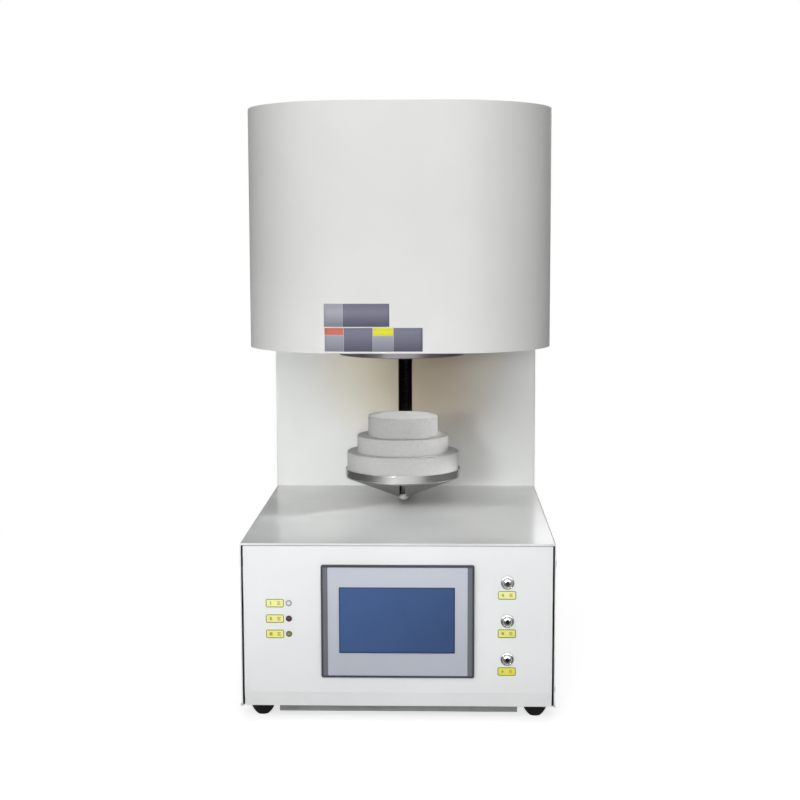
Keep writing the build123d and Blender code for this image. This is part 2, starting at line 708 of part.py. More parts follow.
def lift_nut():
    """Flanged bronze nut on the lead screw."""
    top = CARRIAGE_BOTTOM + CARRIAGE_HEIGHT
    nut = post(0, DRIVE_Y, (CARRIAGE_BOTTOM, top), SCREW_RADIUS + 5)
    nut += post(0, DRIVE_Y, (CARRIAGE_BOTTOM - 6, CARRIAGE_BOTTOM), SCREW_RADIUS + 10)
    return nut - post(0, DRIVE_Y, (CARRIAGE_BOTTOM - 7, top + 1), SCREW_RADIUS + RUNNING)


def lead_screw():
    """Lead screw with a turned journal at each end."""
    thread_z = (LOWER_BLOCK + BLOCK_HEIGHT + END_PLAY, UPPER_BLOCK - END_PLAY)
    lower_journal = post(0, DRIVE_Y, (COUPLING_BOTTOM + 15, thread_z[0]), JOURNAL_RADIUS)
    thread = post(0, DRIVE_Y, thread_z, SCREW_RADIUS)
    upper_journal = post(0, DRIVE_Y, (thread_z[1], UPPER_BLOCK + BLOCK_HEIGHT), JOURNAL_RADIUS)
    return lower_journal + thread + upper_journal


def shaft_coupling():
    """Coupling between the motor shaft and the lead screw, with the shaft's end in it."""
    coupling = post(0, DRIVE_Y, (COUPLING_BOTTOM, COUPLING_TOP), COUPLING_RADIUS)
    coupling += post(0, DRIVE_Y, (MOTOR_TOP + END_PLAY, COUPLING_BOTTOM), JOURNAL_RADIUS)
    return coupling - post(0, DRIVE_Y, (COUPLING_BOTTOM + 15, COUPLING_TOP + 1), JOURNAL_RADIUS)


def guide_rods():
    """Two ground guide rods held by the rod blocks."""
    return [post(x, DRIVE_Y, (LOWER_BLOCK, UPPER_BLOCK + BLOCK_HEIGHT), ROD_RADIUS) for x in (-ROD_X, ROD_X)]


def lift_frame():
    """Steel back plate of the lift, with the shelf that the motor hangs from."""
    plate = block((-70, 70), (FRAME_FRONT, FRAME_FRONT + FRAME_PLATE), (FRAME_BOTTOM, FRAME_TOP))
    shelf_y = (DRIVE_Y - MOTOR_SIZE / 2, FRAME_FRONT)
    plate += block((-50, 50), shelf_y, (MOTOR_TOP, MOTOR_TOP + SHELF))
    return plate - post(0, DRIVE_Y, (MOTOR_TOP - 1, MOTOR_TOP + SHELF + 1), 20)


def rod_blocks():
    """Lower and upper blocks that hold the guide rods and the screw's bearings."""
    blocks = []
    for bottom in (LOWER_BLOCK, UPPER_BLOCK):
        z_range = (bottom, bottom + BLOCK_HEIGHT)
        item = block((-BLOCK_HALF, BLOCK_HALF), (DRIVE_Y - CARRIAGE_DEPTH / 2, FRAME_FRONT), z_range)
        for x in (-ROD_X, ROD_X):
            item -= post(x, DRIVE_Y, z_range, ROD_RADIUS)
        item -= post(0, DRIVE_Y, (bottom, bottom + BEARING_WIDTH), BEARING_RADIUS)
        blocks.append(item - post(0, DRIVE_Y, z_range, JOURNAL_RADIUS + 1))
    return blocks


def screw_bearings():
    """Ball bearings on the screw's journals, drawn as plain rings."""
    bearings = []
    for bottom in (LOWER_BLOCK, UPPER_BLOCK):
        z_range = (bottom, bottom + BEARING_WIDTH)
        ring = post(0, DRIVE_Y, z_range, BEARING_RADIUS)
        bearings.append(ring - post(0, DRIVE_Y, z_range, JOURNAL_RADIUS + RUNNING))
    return bearings


def lift_motor():
    """Square stepper motor with its mounting boss."""
    half = MOTOR_SIZE / 2
    motor = block((-half, half), (DRIVE_Y - half, DRIVE_Y + half), (MOTOR_BOTTOM, MOTOR_TOP))
    return fillet(motor.edges().filter_by(Axis.Z), 6)


def transformer_core():
    """Laminated three-leg core of the element transformer."""
    core = block(
        (CORE_X - CORE_HALF_WIDTH, CORE_X + CORE_HALF_WIDTH),
        (CORE_Y - CORE_HALF_DEPTH, CORE_Y + CORE_HALF_DEPTH),
        (PAN_FLOOR, PAN_FLOOR + CORE_HEIGHT),
    )
    window_z = (PAN_FLOOR + YOKE, PAN_FLOOR + CORE_HEIGHT - YOKE)
    for x in (CORE_X - 2 * LEG_HALF, CORE_X + 2 * LEG_HALF):
        core -= block((x - LEG_HALF, x + LEG_HALF), (CORE_Y - 31, CORE_Y + 31), window_z)
    return core


def transformer_coil():
    """Winding on the middle leg of the core."""
    coil = block(
        (CORE_X - COIL_HALF_WIDTH, CORE_X + COIL_HALF_WIDTH),
        (CORE_Y - COIL_HALF_DEPTH, CORE_Y + COIL_HALF_DEPTH),
        (PAN_FLOOR + YOKE + 1, PAN_FLOOR + CORE_HEIGHT - YOKE - 1),
    )
    coil = fillet(coil.edges().filter_by(Axis.Z), 16)
    leg_y = (CORE_Y - CORE_HALF_DEPTH, CORE_Y + CORE_HALF_DEPTH)
    return coil - block((CORE_X - LEG_HALF, CORE_X + LEG_HALF), leg_y, (PAN_FLOOR, PAN_FLOOR + CORE_HEIGHT))


def power_controller():
    """Thyristor power controller on its finned heat sink."""
    sink_y = (CORE_Y - SINK_HALF_DEPTH, CORE_Y + SINK_HALF_DEPTH)
    sink = block(SINK_X, sink_y, (PAN_FLOOR, PAN_FLOOR + SINK_BASE))
    step = (SINK_X[1] - SINK_X[0] - FIN_THICKNESS) / (FINS - 1)
    for fin in range(FINS):
        x = SINK_X[0] + step * fin
        sink += block((x, x + FIN_THICKNESS), sink_y, (PAN_FLOOR + SINK_BASE, PAN_FLOOR + SINK_HEIGHT))
    module_z = (PAN_FLOOR + SINK_HEIGHT, PAN_FLOOR + SINK_HEIGHT + MODULE_HEIGHT)
    return sink + block((SINK_X[0] + 5, SINK_X[1] - 5), (sink_y[0] + 10, sink_y[1] - 10), module_z)


def fan_frame():
    """Square cooling fan frame with its motor spider."""
    half = FAN_SIZE / 2
    y_range = (BACK - SHEET - FAN_DEPTH, BACK - SHEET)
    frame = front_plate(FAN_X, FAN_Z, FAN_SIZE, FAN_SIZE, y_range, 5)
    frame -= pin(FAN_X, FAN_Z, (y_range[0] - 1, y_range[1] + 1), FAN_BORE)
    spider_y = (y_range[0], y_range[0] + 3)
    frame += pin(FAN_X, FAN_Z, spider_y, ROTOR_HUB)
    frame += block((FAN_X - half + 2, FAN_X + half - 2), spider_y, (FAN_Z - 3, FAN_Z + 3))
    frame += block((FAN_X - 3, FAN_X + 3), spider_y, (FAN_Z - half + 2, FAN_Z + half - 2))
    return frame - pin(FAN_X, FAN_Z, (y_range[0] - 1, y_range[1]), FAN_SHAFT + RUNNING)


def fan_rotor():
    """Fan hub with its shaft and pitched blades."""
    y_range = (BACK - SHEET - FAN_DEPTH + 4, BACK - SHEET - 2)
    rotor = pin(FAN_X, FAN_Z, y_range, ROTOR_HUB)
    rotor += pin(FAN_X, FAN_Z, (y_range[0] - 3.5, y_range[0]), FAN_SHAFT)
    middle = sum(y_range) / 2
    root = ROTOR_HUB - 3
    tip = FAN_BORE - FAN_GAP
    blade = Pos(0, 0, (root + tip) / 2) * Rot(0, 0, 40) * Box(2, 20, tip - root)
    limit = pin(FAN_X, FAN_Z, y_range, FAN_BORE - FAN_GAP)
    for index in range(BLADES):
        turned = Rot(0, 360 * index / BLADES, 0) * blade
        rotor += (Pos(FAN_X, middle, FAN_Z) * turned) & limit
    return rotor


def cable_gland():
    """Mains cable gland through the base's back panel."""
    inner = pin(GLAND_X, GLAND_Z, (BACK - 14, BACK), GLAND_RADIUS)
    inner += pin(GLAND_X, GLAND_Z, (BACK - SHEET - 5, BACK - SHEET), GLAND_RADIUS + 3.5)
    hexagon = extrude(Plane.XZ * RegularPolygon(GLAND_RADIUS + 4, 6), 5)
    outer = Pos(GLAND_X, BACK + 5, GLAND_Z) * hexagon
    outer += pin(GLAND_X, GLAND_Z, (BACK + 5, BACK + 8), GLAND_RADIUS)
    points = [
        (0, -GLAND_PROUD),
        (CABLE_RADIUS + 2, -GLAND_PROUD),
        (GLAND_RADIUS + 1, 4 - GLAND_PROUD),
        (GLAND_RADIUS + 2, 8 - GLAND_PROUD),
        (GLAND_RADIUS + 2, -8),
        (0, -8),
    ]
    nut = spun_y(GLAND_X, BACK, GLAND_Z, points)
    return inner + outer + nut - pin(GLAND_X, GLAND_Z, (BACK - 15, BACK + GLAND_PROUD + 1), CABLE_RADIUS)


def breaker_body():
    """Two-pole mains breaker behind its window."""
    inner_face = BACK - SHEET
    half_width = BREAKER_WIDTH / 2
    half_height = BREAKER_HEIGHT / 2
    body = block(
        (BREAKER_X - half_width - 2, BREAKER_X + half_width + 2),
        (inner_face - 62, inner_face),
        (BREAKER_Z - half_height, BREAKER_Z + half_height),
    )
    half_nose = BREAKER_WINDOW / 2 - 0.5
    body += block(
        (BREAKER_X - half_width + 0.3, BREAKER_X + half_width - 0.3),
        (inner_face, BACK),
        (BREAKER_Z - half_nose, BREAKER_Z + half_nose),
    )
    body -= block(
        (BREAKER_X - RECESS_WIDTH / 2, BREAKER_X + RECESS_WIDTH / 2),
        (inner_face - 24, BACK + 1),
        (BREAKER_Z - RECESS_HEIGHT / 2, BREAKER_Z + RECESS_HEIGHT / 2),
    )
    bore = Pos(BREAKER_X, LEVER_PIVOT_Y, BREAKER_Z) * Rot(0, 90, 0) * Cylinder(LEVER_PIN + RUNNING, 31)
    return body - bore


def breaker_lever():
    """Breaker lever on its drum and pins, up in the switched-on position."""
    drum = Rot(0, 90, 0) * (Cylinder(8, 22) + Cylinder(LEVER_PIN, 30))
    handle = block((-9, 9), (0, LEVER_LENGTH), (-3.5, 3.5))
    handle = fillet(handle.edges().filter_by(Axis.X).group_by(Axis.Y)[-1], 2)
    return Pos(BREAKER_X, LEVER_PIVOT_Y, BREAKER_Z) * Rot(LEVER_TILT, 0, 0) * (drum + handle)


def screw_head():
    """Pan head facing +Z."""
    head = Cylinder(SCREW_HEAD_RADIUS, SCREW_HEAD_HEIGHT, align=(Align.CENTER, Align.CENTER, Align.MIN))
    head = fillet(head.edges().group_by(Axis.Z)[-1], 0.8)
    for angle in (0, 90):
        head -= Rot(0, 0, angle) * Pos(0, 0, SCREW_HEAD_HEIGHT) * Box(4.2, 0.9, 1.6)
    return head


def case_screws():
    """Pan-head screws of the back covers and the base's sides."""
    screws = []
    backward = Rot(-90, 0, 0) * screw_head()
    for x in (12 - HALF, HALF - 12):
        for z in (FOOT_HEIGHT + 12, DECK - 14, DECK + 14, HOOD_BOTTOM - 12, HOOD_BOTTOM + 14, TOP - 16):
            screws.append(Pos(x, BACK, z) * backward)
    for side in (-1, 1):
        sideways = Rot(0, 90 * side, 0) * screw_head()
        for y in (FRONT + 18, BACK - 18):
            for z in (FOOT_HEIGHT + 20, DECK - 30):
                screws.append(Pos(side * HALF, y, z) * sideways)
    return screws


NODES = {
    "base_tray": base_tray,
    "base_cover": base_cover,
    "base_front_panel": base_front_panel,
    "base_rear_panel": base_rear_panel,
    "rubber_feet": rubber_feet,
    "touch_panel_bezel": touch_panel_bezel,
    "touch_panel_face": touch_panel_face,
    "touch_panel_glass": touch_panel_glass,
    "touch_panel_body": touch_panel_body,
    "indicator_bezels": indicator_bezels,
    "indicator_lens_upper": lambda: indicator_lens(INDICATOR_ZS[0]),
    "indicator_lens_middle": lambda: indicator_lens(INDICATOR_ZS[1]),
    "indicator_lens_lower": lambda: indicator_lens(INDICATOR_ZS[2]),
    "label_tags": label_tags,
    "button_bezels": button_bezels,
    "button_raise": lambda: button_cap(BUTTON_ZS[0]),
    "button_stop": lambda: button_cap(BUTTON_ZS[1]),
    "button_lower": lambda: button_cap(BUTTON_ZS[2]),
    "button_switches": button_switches,
    "column_cover": column_cover,
    "rear_cover": rear_cover,
    "frame_posts": frame_posts,
    "hood_shell": hood_shell,
    "hood_top": hood_top,
    "hood_bottom_plate": hood_bottom_plate,
    "throat_ring": throat_ring,
    "insulation_throat": insulation_throat,
    "insulation_wall": insulation_wall,
    "insulation_roof": insulation_roof,
    "furnace_casing": furnace_casing,
    "heating_elements": heating_elements,
    "element_clamps": element_clamps,
    "thermocouple": thermocouple,
    "hearth_disc_lower": lambda: hearth_disc(LOWER_DISC_RADIUS, (DISH_FLOOR, LOWER_DISC_TOP)),
    "hearth_disc_middle": lambda: hearth_disc(MIDDLE_DISC_RADIUS, (LOWER_DISC_TOP, MIDDLE_DISC_TOP)),
    "hearth_disc_top": lambda: hearth_disc(TOP_DISC_RADIUS, (MIDDLE_DISC_TOP, HEARTH_TOP)),
    "hearth_dish": hearth_dish,
    "hearth_cone": hearth_cone,
    "hearth_stud": hearth_stud,
    "hearth_dome_nut": hearth_dome_nut,
    "lift_arm": lift_arm,
    "lift_carriage": lift_carriage,
    "carriage_bushings": carriage_bushings,
    "lift_nut": lift_nut,
    "lead_screw": lead_screw,
    "shaft_coupling": shaft_coupling,
    "guide_rods": guide_rods,
    "lift_frame": lift_frame,
    "rod_blocks": rod_blocks,
    "screw_bearings": screw_bearings,
    "lift_motor": lift_motor,
    "transformer_core": transformer_core,
    "transformer_coil": transformer_coil,
    "power_controller": power_controller,
    "fan_frame": fan_frame,
    "fan_rotor": fan_rotor,
    "cable_gland": cable_gland,
    "breaker_body": breaker_body,
    "breaker_lever": breaker_lever,
    "case_screws": case_screws,
}

os.makedirs("parts", exist_ok=True)
for name, make in NODES.items():
    made = make()
    solids = made if isinstance(made, list) else [made]
    body = Compound([solid for item in solids for solid in item.solids()])
    body.label = name
    export_step(body, f"parts/{name}.step")
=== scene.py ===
import json
import math
import random

import bmesh
import bpy
from bpy.props import FloatProperty, FloatVectorProperty, IntProperty, PointerProperty
from mathutils import Matrix, Vector, noise


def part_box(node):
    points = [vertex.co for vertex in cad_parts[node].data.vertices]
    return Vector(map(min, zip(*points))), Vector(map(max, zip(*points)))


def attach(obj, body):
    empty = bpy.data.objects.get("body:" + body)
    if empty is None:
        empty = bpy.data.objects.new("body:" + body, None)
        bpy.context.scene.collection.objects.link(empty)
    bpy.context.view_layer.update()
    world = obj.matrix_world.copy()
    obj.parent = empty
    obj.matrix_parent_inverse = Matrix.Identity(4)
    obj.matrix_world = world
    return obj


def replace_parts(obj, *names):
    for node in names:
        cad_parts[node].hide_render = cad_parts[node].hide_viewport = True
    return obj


bl_info = {
    "name": "Dental Sintering Furnace",
    "version": (1, 0, 0),
    "blender": (4, 5, 0),
    "location": "3D View > Sidebar > Furnace",
    "description": "Finishes, printed plates and fibre discs of a bench-top sintering furnace",
    "category": "Object",
}

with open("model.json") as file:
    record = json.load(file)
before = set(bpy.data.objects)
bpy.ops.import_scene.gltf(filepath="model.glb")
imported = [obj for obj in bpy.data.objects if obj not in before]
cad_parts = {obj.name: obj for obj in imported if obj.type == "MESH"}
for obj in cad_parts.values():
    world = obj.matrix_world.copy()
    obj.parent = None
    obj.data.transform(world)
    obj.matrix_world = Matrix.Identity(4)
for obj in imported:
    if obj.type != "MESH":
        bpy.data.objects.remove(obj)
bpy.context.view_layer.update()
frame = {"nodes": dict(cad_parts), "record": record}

HOOD_LOW, HOOD_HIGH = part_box("hood_shell")
PANEL_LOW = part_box("base_front_panel")[0]
DISH_LOW, DISH_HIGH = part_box("hearth_dish")
BEZEL_LOW, BEZEL_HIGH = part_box("touch_panel_bezel")
GLASS_LOW, GLASS_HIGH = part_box("touch_panel_glass")
TAGS_LOW, TAGS_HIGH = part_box("label_tags")
RING_LOW, RING_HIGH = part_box("throat_ring")
HEARTH_AXIS = ((DISH_LOW + DISH_HIGH) / 2).xy
MILLIMETRE = 0.001

# Sockets of the Mix node, whose colour sockets share their names with its other sockets
MIX_FACTOR, MIX_FIRST, MIX_SECOND, MIX_RESULT = 0, 6, 7, 2


def linear(red, green, blue):
    """Linear colour from the three values, 0 to 255, that a screen shows."""

    def channel(value):
        share = value / 255
        return share / 12.92 if share <= 0.04045 else ((share + 0.055) / 1.055) ** 2.4

    return (channel(red), channel(green), channel(blue))


def dimmed(colour, share):
    """A colour at a share of its brightness."""
    return tuple(share * channel for channel in colour)


def colour_property(name, description, *shown):
    """Colour that a user may change, with its default as a screen shows it."""
    return FloatVectorProperty(
        name=name, description=description, subtype="COLOR", size=3, min=0, max=1, default=linear(*shown)
    )


class Value:
    """A number or colour that varies over a surface, so that shader maths reads as arithmetic."""

    def __init__(self, tree, socket):
        self.tree = tree
        self.socket = socket

    def math(self, operation, *values):
        return self.tree.add("ShaderNodeMath", {"operation": operation}, values)

    def __add__(self, other):
        return self.math("ADD", self, other)

    __radd__ = __add__

    def __sub__(self, other):
        return self.math("SUBTRACT", self, other)

    def __rsub__(self, other):
        return self.math("SUBTRACT", other, self)

    def __mul__(self, other):
        return self.math("MULTIPLY", self, other)

    __rmul__ = __mul__

    def __truediv__(self, other):
        return self.math("DIVIDE", self, other)

    def __pow__(self, other):
        return self.math("POWER", self, other)

    def __abs__(self):
        return self.math("ABSOLUTE", self)

    def sine(self):
        return self.math("SINE", self)

    def least(self, other):
        return self.math("MINIMUM", self, other)

    def most(self, other):
        return self.math("MAXIMUM", self, other)

    def above(self, edge):
        return self.math("GREATER_THAN", self, edge)

    def smooth(self, low, high):
        """0 below low, 1 above high, and a soft step between them."""
        inputs = {"Value": self, "From Min": low, "From Max": high}
        return self.tree.add("ShaderNodeMapRange", {"interpolation_type": "SMOOTHSTEP"}, inputs)


class Tree:
    """A node tree that is written one node a line."""

    def __init__(self, owner):
        owner.use_nodes = True
        self.nodes = owner.node_tree.nodes
        self.links = owner.node_tree.links

    def feed(self, socket, value):
        """Sets a socket to a number or colour, or links it to a Value."""
        if isinstance(value, Value):
            self.links.new(value.socket, socket)
        elif hasattr(value, "__len__") and len(socket.default_value) == 4:
            socket.default_value = (*value[:3], 1)
        else:
            socket.default_value = value

    def add(self, kind, settings=None, inputs=(), output=0):
        """Makes a node with its settings, then its inputs, and returns one of its outputs."""
        node = self.nodes.new(kind)
        for name, value in (settings or {}).items():
            setattr(node, name, value)
        pairs = inputs.items() if isinstance(inputs, dict) else enumerate(inputs)
        for key, value in pairs:
            self.feed(node.inputs[key], value)
        return Value(self, node.outputs[output])

    def mix(self, factor, first, second):
        """Colour between two colours."""
        inputs = {MIX_FACTOR: factor, MIX_FIRST: first, MIX_SECOND: second}
        return self.add("ShaderNodeMix", {"data_type": "RGBA"}, inputs, MIX_RESULT)

    def scaled(self, vector, stretch):
        """A place multiplied by one number an axis."""
        return self.add("ShaderNodeVectorMath", {"operation": "MULTIPLY"}, (vector, stretch))

    def split(self, vector):
        """The three coordinates of a place."""
        return [self.add("ShaderNodeSeparateXYZ", inputs=(vector,), output=axis) for axis in range(3)]

    def joined(self, *coordinates):
        """A place from its three coordinates."""
        return self.add("ShaderNodeCombineXYZ", inputs=coordinates)


class Finish(Tree):
    """A material round one Principled shader, laid out in the object's own metres."""

    def __init__(self, name, **fixed):
        self.material = bpy.data.materials.new(name)
        super().__init__(self.material)
        self.shader = self.nodes["Principled BSDF"]
        for key, value in fixed.items():
            self.feed(self.shader.inputs[key.replace("_", " ")], value)
        self.place = self.add("ShaderNodeTexCoord", output="Object")
        self.x, self.y, self.z = self.split(self.place)

    def surface(self, **varying):
        """Feeds the sockets that change over the surface."""
        for key, value in varying.items():
            self.feed(self.shader.inputs[key.replace("_", " ").title()], value)

    def clouds(self, scale, detail=2.0, roughness=0.5, vector=None):
        """Soft noise from 0 to 1, with a scale in features a metre."""
        inputs = {"Vector": vector or self.place, "Scale": scale, "Detail": detail, "Roughness": roughness}
        return self.add("ShaderNodeTexNoise", inputs=inputs)

    def cells(self, scale):
        """Distance to the nearest of many scattered points."""
        return self.add("ShaderNodeTexVoronoi", inputs={"Vector": self.place, "Scale": scale})

    def flakes(self, scale):
        """One random number for each of many flat flakes."""
        inputs = {"Vector": self.place, "Scale": scale}
        return self.split(self.add("ShaderNodeTexVoronoi", inputs=inputs, output="Color"))[0]

    def relief(self, height, depth, strength=1.0):
        """Bumps the surface by a height from 0 to 1 that stands for a depth in millimetres."""
        inputs = {"Height": height, "Distance": depth * MILLIMETRE, "Strength": strength}
        self.surface(normal=self.add("ShaderNodeBump", inputs=inputs))
        return self.material

    def from_axis(self, centre):
        """Distance from an upright axis."""
        return distance(self.x - centre[0], self.y - centre[1])

    def inside(self, box):
        """Distance inwards from the nearest edge of a box, seen from the front."""
        low, high = box
        middle, half = (low + high) / 2, (high - low) / 2
        return (half.x - abs(self.x - middle.x)).least(half.z - abs(self.z - middle.z))


def distance(first, second):
    """Distance from its parts along two axes."""
    return (first * first + second * second) ** 0.5


def powder_coat(name, colour, roughness, peel_depth=0.03, layers=(), **fixed):
    """Baked powder paint: orange peel, clouds in its tone, a little dirt, and masked painted shade over it.
    """
    finish = Finish(name, **fixed)
    clouds = finish.clouds(7, 4)
    specks = finish.clouds(1900, 1)
    peel = finish.clouds(620, 2, 0.4)
    tone = finish.mix(clouds.smooth(0.3, 0.7), dimmed(colour, 0.965), colour)
    tone = finish.mix(specks.smooth(0.62, 0.8) * 0.35, tone, dimmed(colour, 1.06))
    for mask, shade in layers:
        tone = finish.mix(mask(finish), tone, shade)
    finish.surface(base_color=tone, roughness=roughness + (clouds - 0.5) * 0.12 + (specks - 0.5) * 0.05)
    return finish.relief(peel * 0.75 + specks * 0.25, peel_depth)


# Near-black painted shade on folded edges and on faces that look into the case, so that the gaps between the
# sheets read as shadow
PAINTED_GAP_SHADE = (0.012, 0.012, 0.013)


def cover_inward_painted_shade(finish):
    """1 on the faces of the deck and side sheet that look inward, which get painted shade."""
    across, along, up = finish.split(finish.add("ShaderNodeTexCoord", output="Normal"))
    inward = (finish.x * across * -1).above(0.05)
    return inward.most((up * -1).above(0.5))


def panel_folds_painted_shade(finish):
    """1 on the front panel's folded edges, which get painted shade."""
    across, along, up = finish.split(finish.add("ShaderNodeTexCoord", output="Normal"))
    return (abs(across) + up).above(0.8)


def throat_painted_shadow(finish):
    """1 where the column gets a painted shadow of the hood and hearth, tinted brown, above and right of the
    slot.
    """
    reach = distance((finish.x - 0.05) / 0.14, (finish.z - 0.45) / 0.19)
    patches = finish.clouds(9, 2)
    return (1 - (reach + (patches - 0.5) * 0.3).smooth(0.05, 1.1)) * 0.74


def throat_painted_warm_shade(finish):
    """1 where the column gets a painted warm shade, under the whole width of the throat."""
    reach = distance(finish.x / 0.17, (finish.z - 0.45) / 0.16)
    return (1 - reach.smooth(0.3, 1.1)) * 0.8


def satin_black(name, colour):
    """Black enamel with a rubbed, slightly greyer grain."""
    finish = Finish(name)
    rubbed = finish.clouds(60, 5, 0.65)
    grain = finish.clouds(1500, 2)
    tone = finish.mix(rubbed.smooth(0.55, 0.75) * 0.5, colour, dimmed(colour, 2.2))
    finish.surface(base_color=tone, roughness=0.36 + rubbed * 0.2)
    return finish.relief(grain, 0.03)


def zinc_sheet(name, colour):
    """Galvanised sheet with its flat crystals."""
    finish = Finish(name, Metallic=1.0)
    crystals = finish.flakes(85)
    clouds = finish.clouds(14, 4)
    finish.surface(
        base_color=finish.mix(crystals, dimmed(colour, 0.93), colour),
        roughness=0.42 + crystals * 0.05 + clouds * 0.08,
    )
    return finish.relief(clouds, 0.01)


def turned_steel(name, colour, roughness, stain):
    """Steel turned on the hearth's axis: fine grooves, and a heat stain in patches."""
    finish = Finish(name, Metallic=1.0)
    round_axis = finish.joined(finish.from_axis(HEARTH_AXIS), 0.0, finish.z)
    grooves = finish.clouds(1400, 2, vector=round_axis)
    bands = finish.clouds(90, 3, vector=round_axis)
    patches = finish.clouds(16, 4)
    tone = finish.mix(patches.smooth(0.45, 0.7) * 0.6, colour, stain)
    tone = finish.mix(bands * 0.25, tone, dimmed(colour, 0.7))
    finish.surface(base_color=tone, roughness=roughness + grooves * 0.16 + (patches - 0.5) * 0.1)
    return finish.relief(grooves, 0.012)


def bright_metal(name, colour, roughness, reflection_spots=()):
    """Plated metal with a few soft smears, and a near-black painted reflection in the middle of each spot."""
    finish = Finish(name, Metallic=1.0)
    smears = finish.clouds(220, 4, 0.6)
    scratches = finish.clouds(900, 1, vector=finish.scaled(finish.place, (1.0, 1.0, 0.08)))
    tone = finish.mix(smears.smooth(0.5, 0.8) * 0.3, colour, dimmed(colour, 0.72))
    for reflection_spot in reflection_spots:
        painted_reflection = 1 - distance(finish.x - reflection_spot.x, finish.z - reflection_spot.z).smooth(0.0023, 0.0031)
        tone = finish.mix(painted_reflection, tone, (0.03, 0.03, 0.032))
    finish.surface(base_color=tone, roughness=roughness + smears * 0.1 + scratches * 0.05)
    return finish.relief(scratches, 0.003)


def fibre_board(name, colour):
    """Vacuum-formed ceramic fibre: matted strands, pinholes darkened by painted shade, and soft grey handling
    marks.
    """
    finish = Finish(name, Specular_IOR_Level=0.2)
    lumps = finish.clouds(240, 5, 0.62)
    strands = finish.clouds(1500, 3, 0.6, finish.scaled(finish.place, (1.0, 1.0, 2.6)))
    pinholes_with_painted_shade = finish.cells(760).smooth(0.05, 0.3)
    marks = finish.clouds(24, 3)
    tone = finish.mix(lumps.smooth(0.3, 0.72), dimmed(colour, 0.93), colour)
    # Painted shade darkens the pinholes
    tone = finish.mix((1 - pinholes_with_painted_shade) * 0.4, tone, dimmed(colour, 0.68))
    tone = finish.mix(marks.smooth(0.52, 0.72) * 0.3, tone, dimmed(colour, 0.88))
    finish.surface(base_color=tone, roughness=0.9 + strands * 0.1)
    return finish.relief(lumps * 0.4 + strands * 0.4 + pinholes_with_painted_shade * 0.2, 0.35, 0.8)


def rubber(name, colour):
    """Moulded rubber, dusty in its hollows."""
    finish = Finish(name)
    dust = finish.clouds(240, 5, 0.7)
    grain = finish.clouds(1800, 1)
    tone = finish.mix(dust.smooth(0.5, 0.8) * 0.5, colour, dimmed(colour, 3.0))
    finish.surface(base_color=tone, roughness=0.62 + dust * 0.25)
    return finish.relief(grain, 0.05)


def moulded_plastic(name, colour, roughness):
    """Moulded plastic with a fine spark texture."""
    finish = Finish(name)
    texture = finish.clouds(2100, 2, 0.6)
    clouds = finish.clouds(30, 3)
    finish.surface(
        base_color=finish.mix(clouds, dimmed(colour, 0.93), dimmed(colour, 1.05)),
        roughness=roughness + (texture - 0.5) * 0.12,
    )
    return finish.relief(texture, 0.03)


def bezel_plastic(name, colour, rim_colour, rim_width):
    """Moulded frame of the touch panel: slate strips with a darker rounded rim."""
    finish = Finish(name)
    rim = 1 - finish.inside((BEZEL_LOW, BEZEL_HIGH)).smooth(0.6 * rim_width, 1.4 * rim_width)
    texture = finish.clouds(1900, 2, 0.6)
    finish.surface(base_color=finish.mix(rim, colour, rim_colour), roughness=0.42 + texture * 0.12)
    return finish.relief(texture, 0.02)


def panel_membrane(name, colour):
    """Printed membrane of the touch panel's face, with painted shade that darkens it a little towards the
    bottom.
    """
    finish = Finish(name)
    # Painted shade: the membrane darkens a little towards the bottom
    height = finish.z.smooth(BEZEL_LOW.z, BEZEL_HIGH.z)
    weave = finish.clouds(1600, 2, 0.5)
    finish.surface(base_color=finish.mix(height, dimmed(colour, 0.86), colour), roughness=0.36 + weave * 0.1)
    return finish.relief(weave, 0.01)


def screen_glass(name, colour, glow):
    """Blue backlit screen under a matt film, with the film's fine grain; painted light brightens its upper
    left and painted shade darkens its border.
    """
    finish = Finish(name, Emission_Strength=glow, Specular_IOR_Level=0.3)
    across = finish.x.smooth(GLASS_LOW.x, GLASS_HIGH.x)
    height = finish.z.smooth(GLASS_LOW.z, GLASS_HIGH.z)
    border = finish.inside((GLASS_LOW, GLASS_HIGH)).smooth(0.0006, 0.0022)
    grain = finish.clouds(2600, 1)
    patches = finish.clouds(26, 3)
    # Painted light, strongest to the upper left, and painted shade along the border
    light = (0.74 + (1 - across) * 0.2 + height * 0.1 + (patches - 0.5) * 0.1) * (0.45 + border * 0.55)
    tone = finish.mix(light.least(1.0), (0.0, 0.0, 0.0), colour)
    finish.surface(base_color=tone, emission_color=tone, roughness=0.3 + grain * 0.14)
    return finish.relief(grain, 0.006)


def lamp_lens(name, colour, glow):
    """Moulded lamp lens: a lighter middle under a clear gloss."""
    finish = Finish(name, Coat_Weight=1.0, Coat_Roughness=0.04, Emission_Strength=glow)
    grain = finish.clouds(900, 2)
    depth = finish.y.smooth(PANEL_LOW.y - 0.003, PANEL_LOW.y - 0.0005)
    tone = finish.mix(depth, colour, dimmed(colour, 0.45))
    finish.surface(base_color=tone, emission_color=tone, roughness=0.2 + grain * 0.15)
    return finish.relief(grain, 0.02)


def printed_plate(name, colour, roughness=0.42, upper_colour=None):
    """Printed plate or film with a fine screen-printed grain, or with a second colour higher up."""
    finish = Finish(name)
    ink = finish.clouds(420, 3, 0.6)
    grain = finish.clouds(2400, 1)
    tone = finish.mix(ink, dimmed(colour, 0.94), dimmed(colour, 1.03))
    if upper_colour:
        tone = finish.mix(finish.z.smooth(TAGS_LOW.z, TAGS_HIGH.z), tone, upper_colour)
    finish.surface(base_color=tone, roughness=roughness + (grain - 0.5) * 0.16)
    return finish.relief(grain, 0.008)


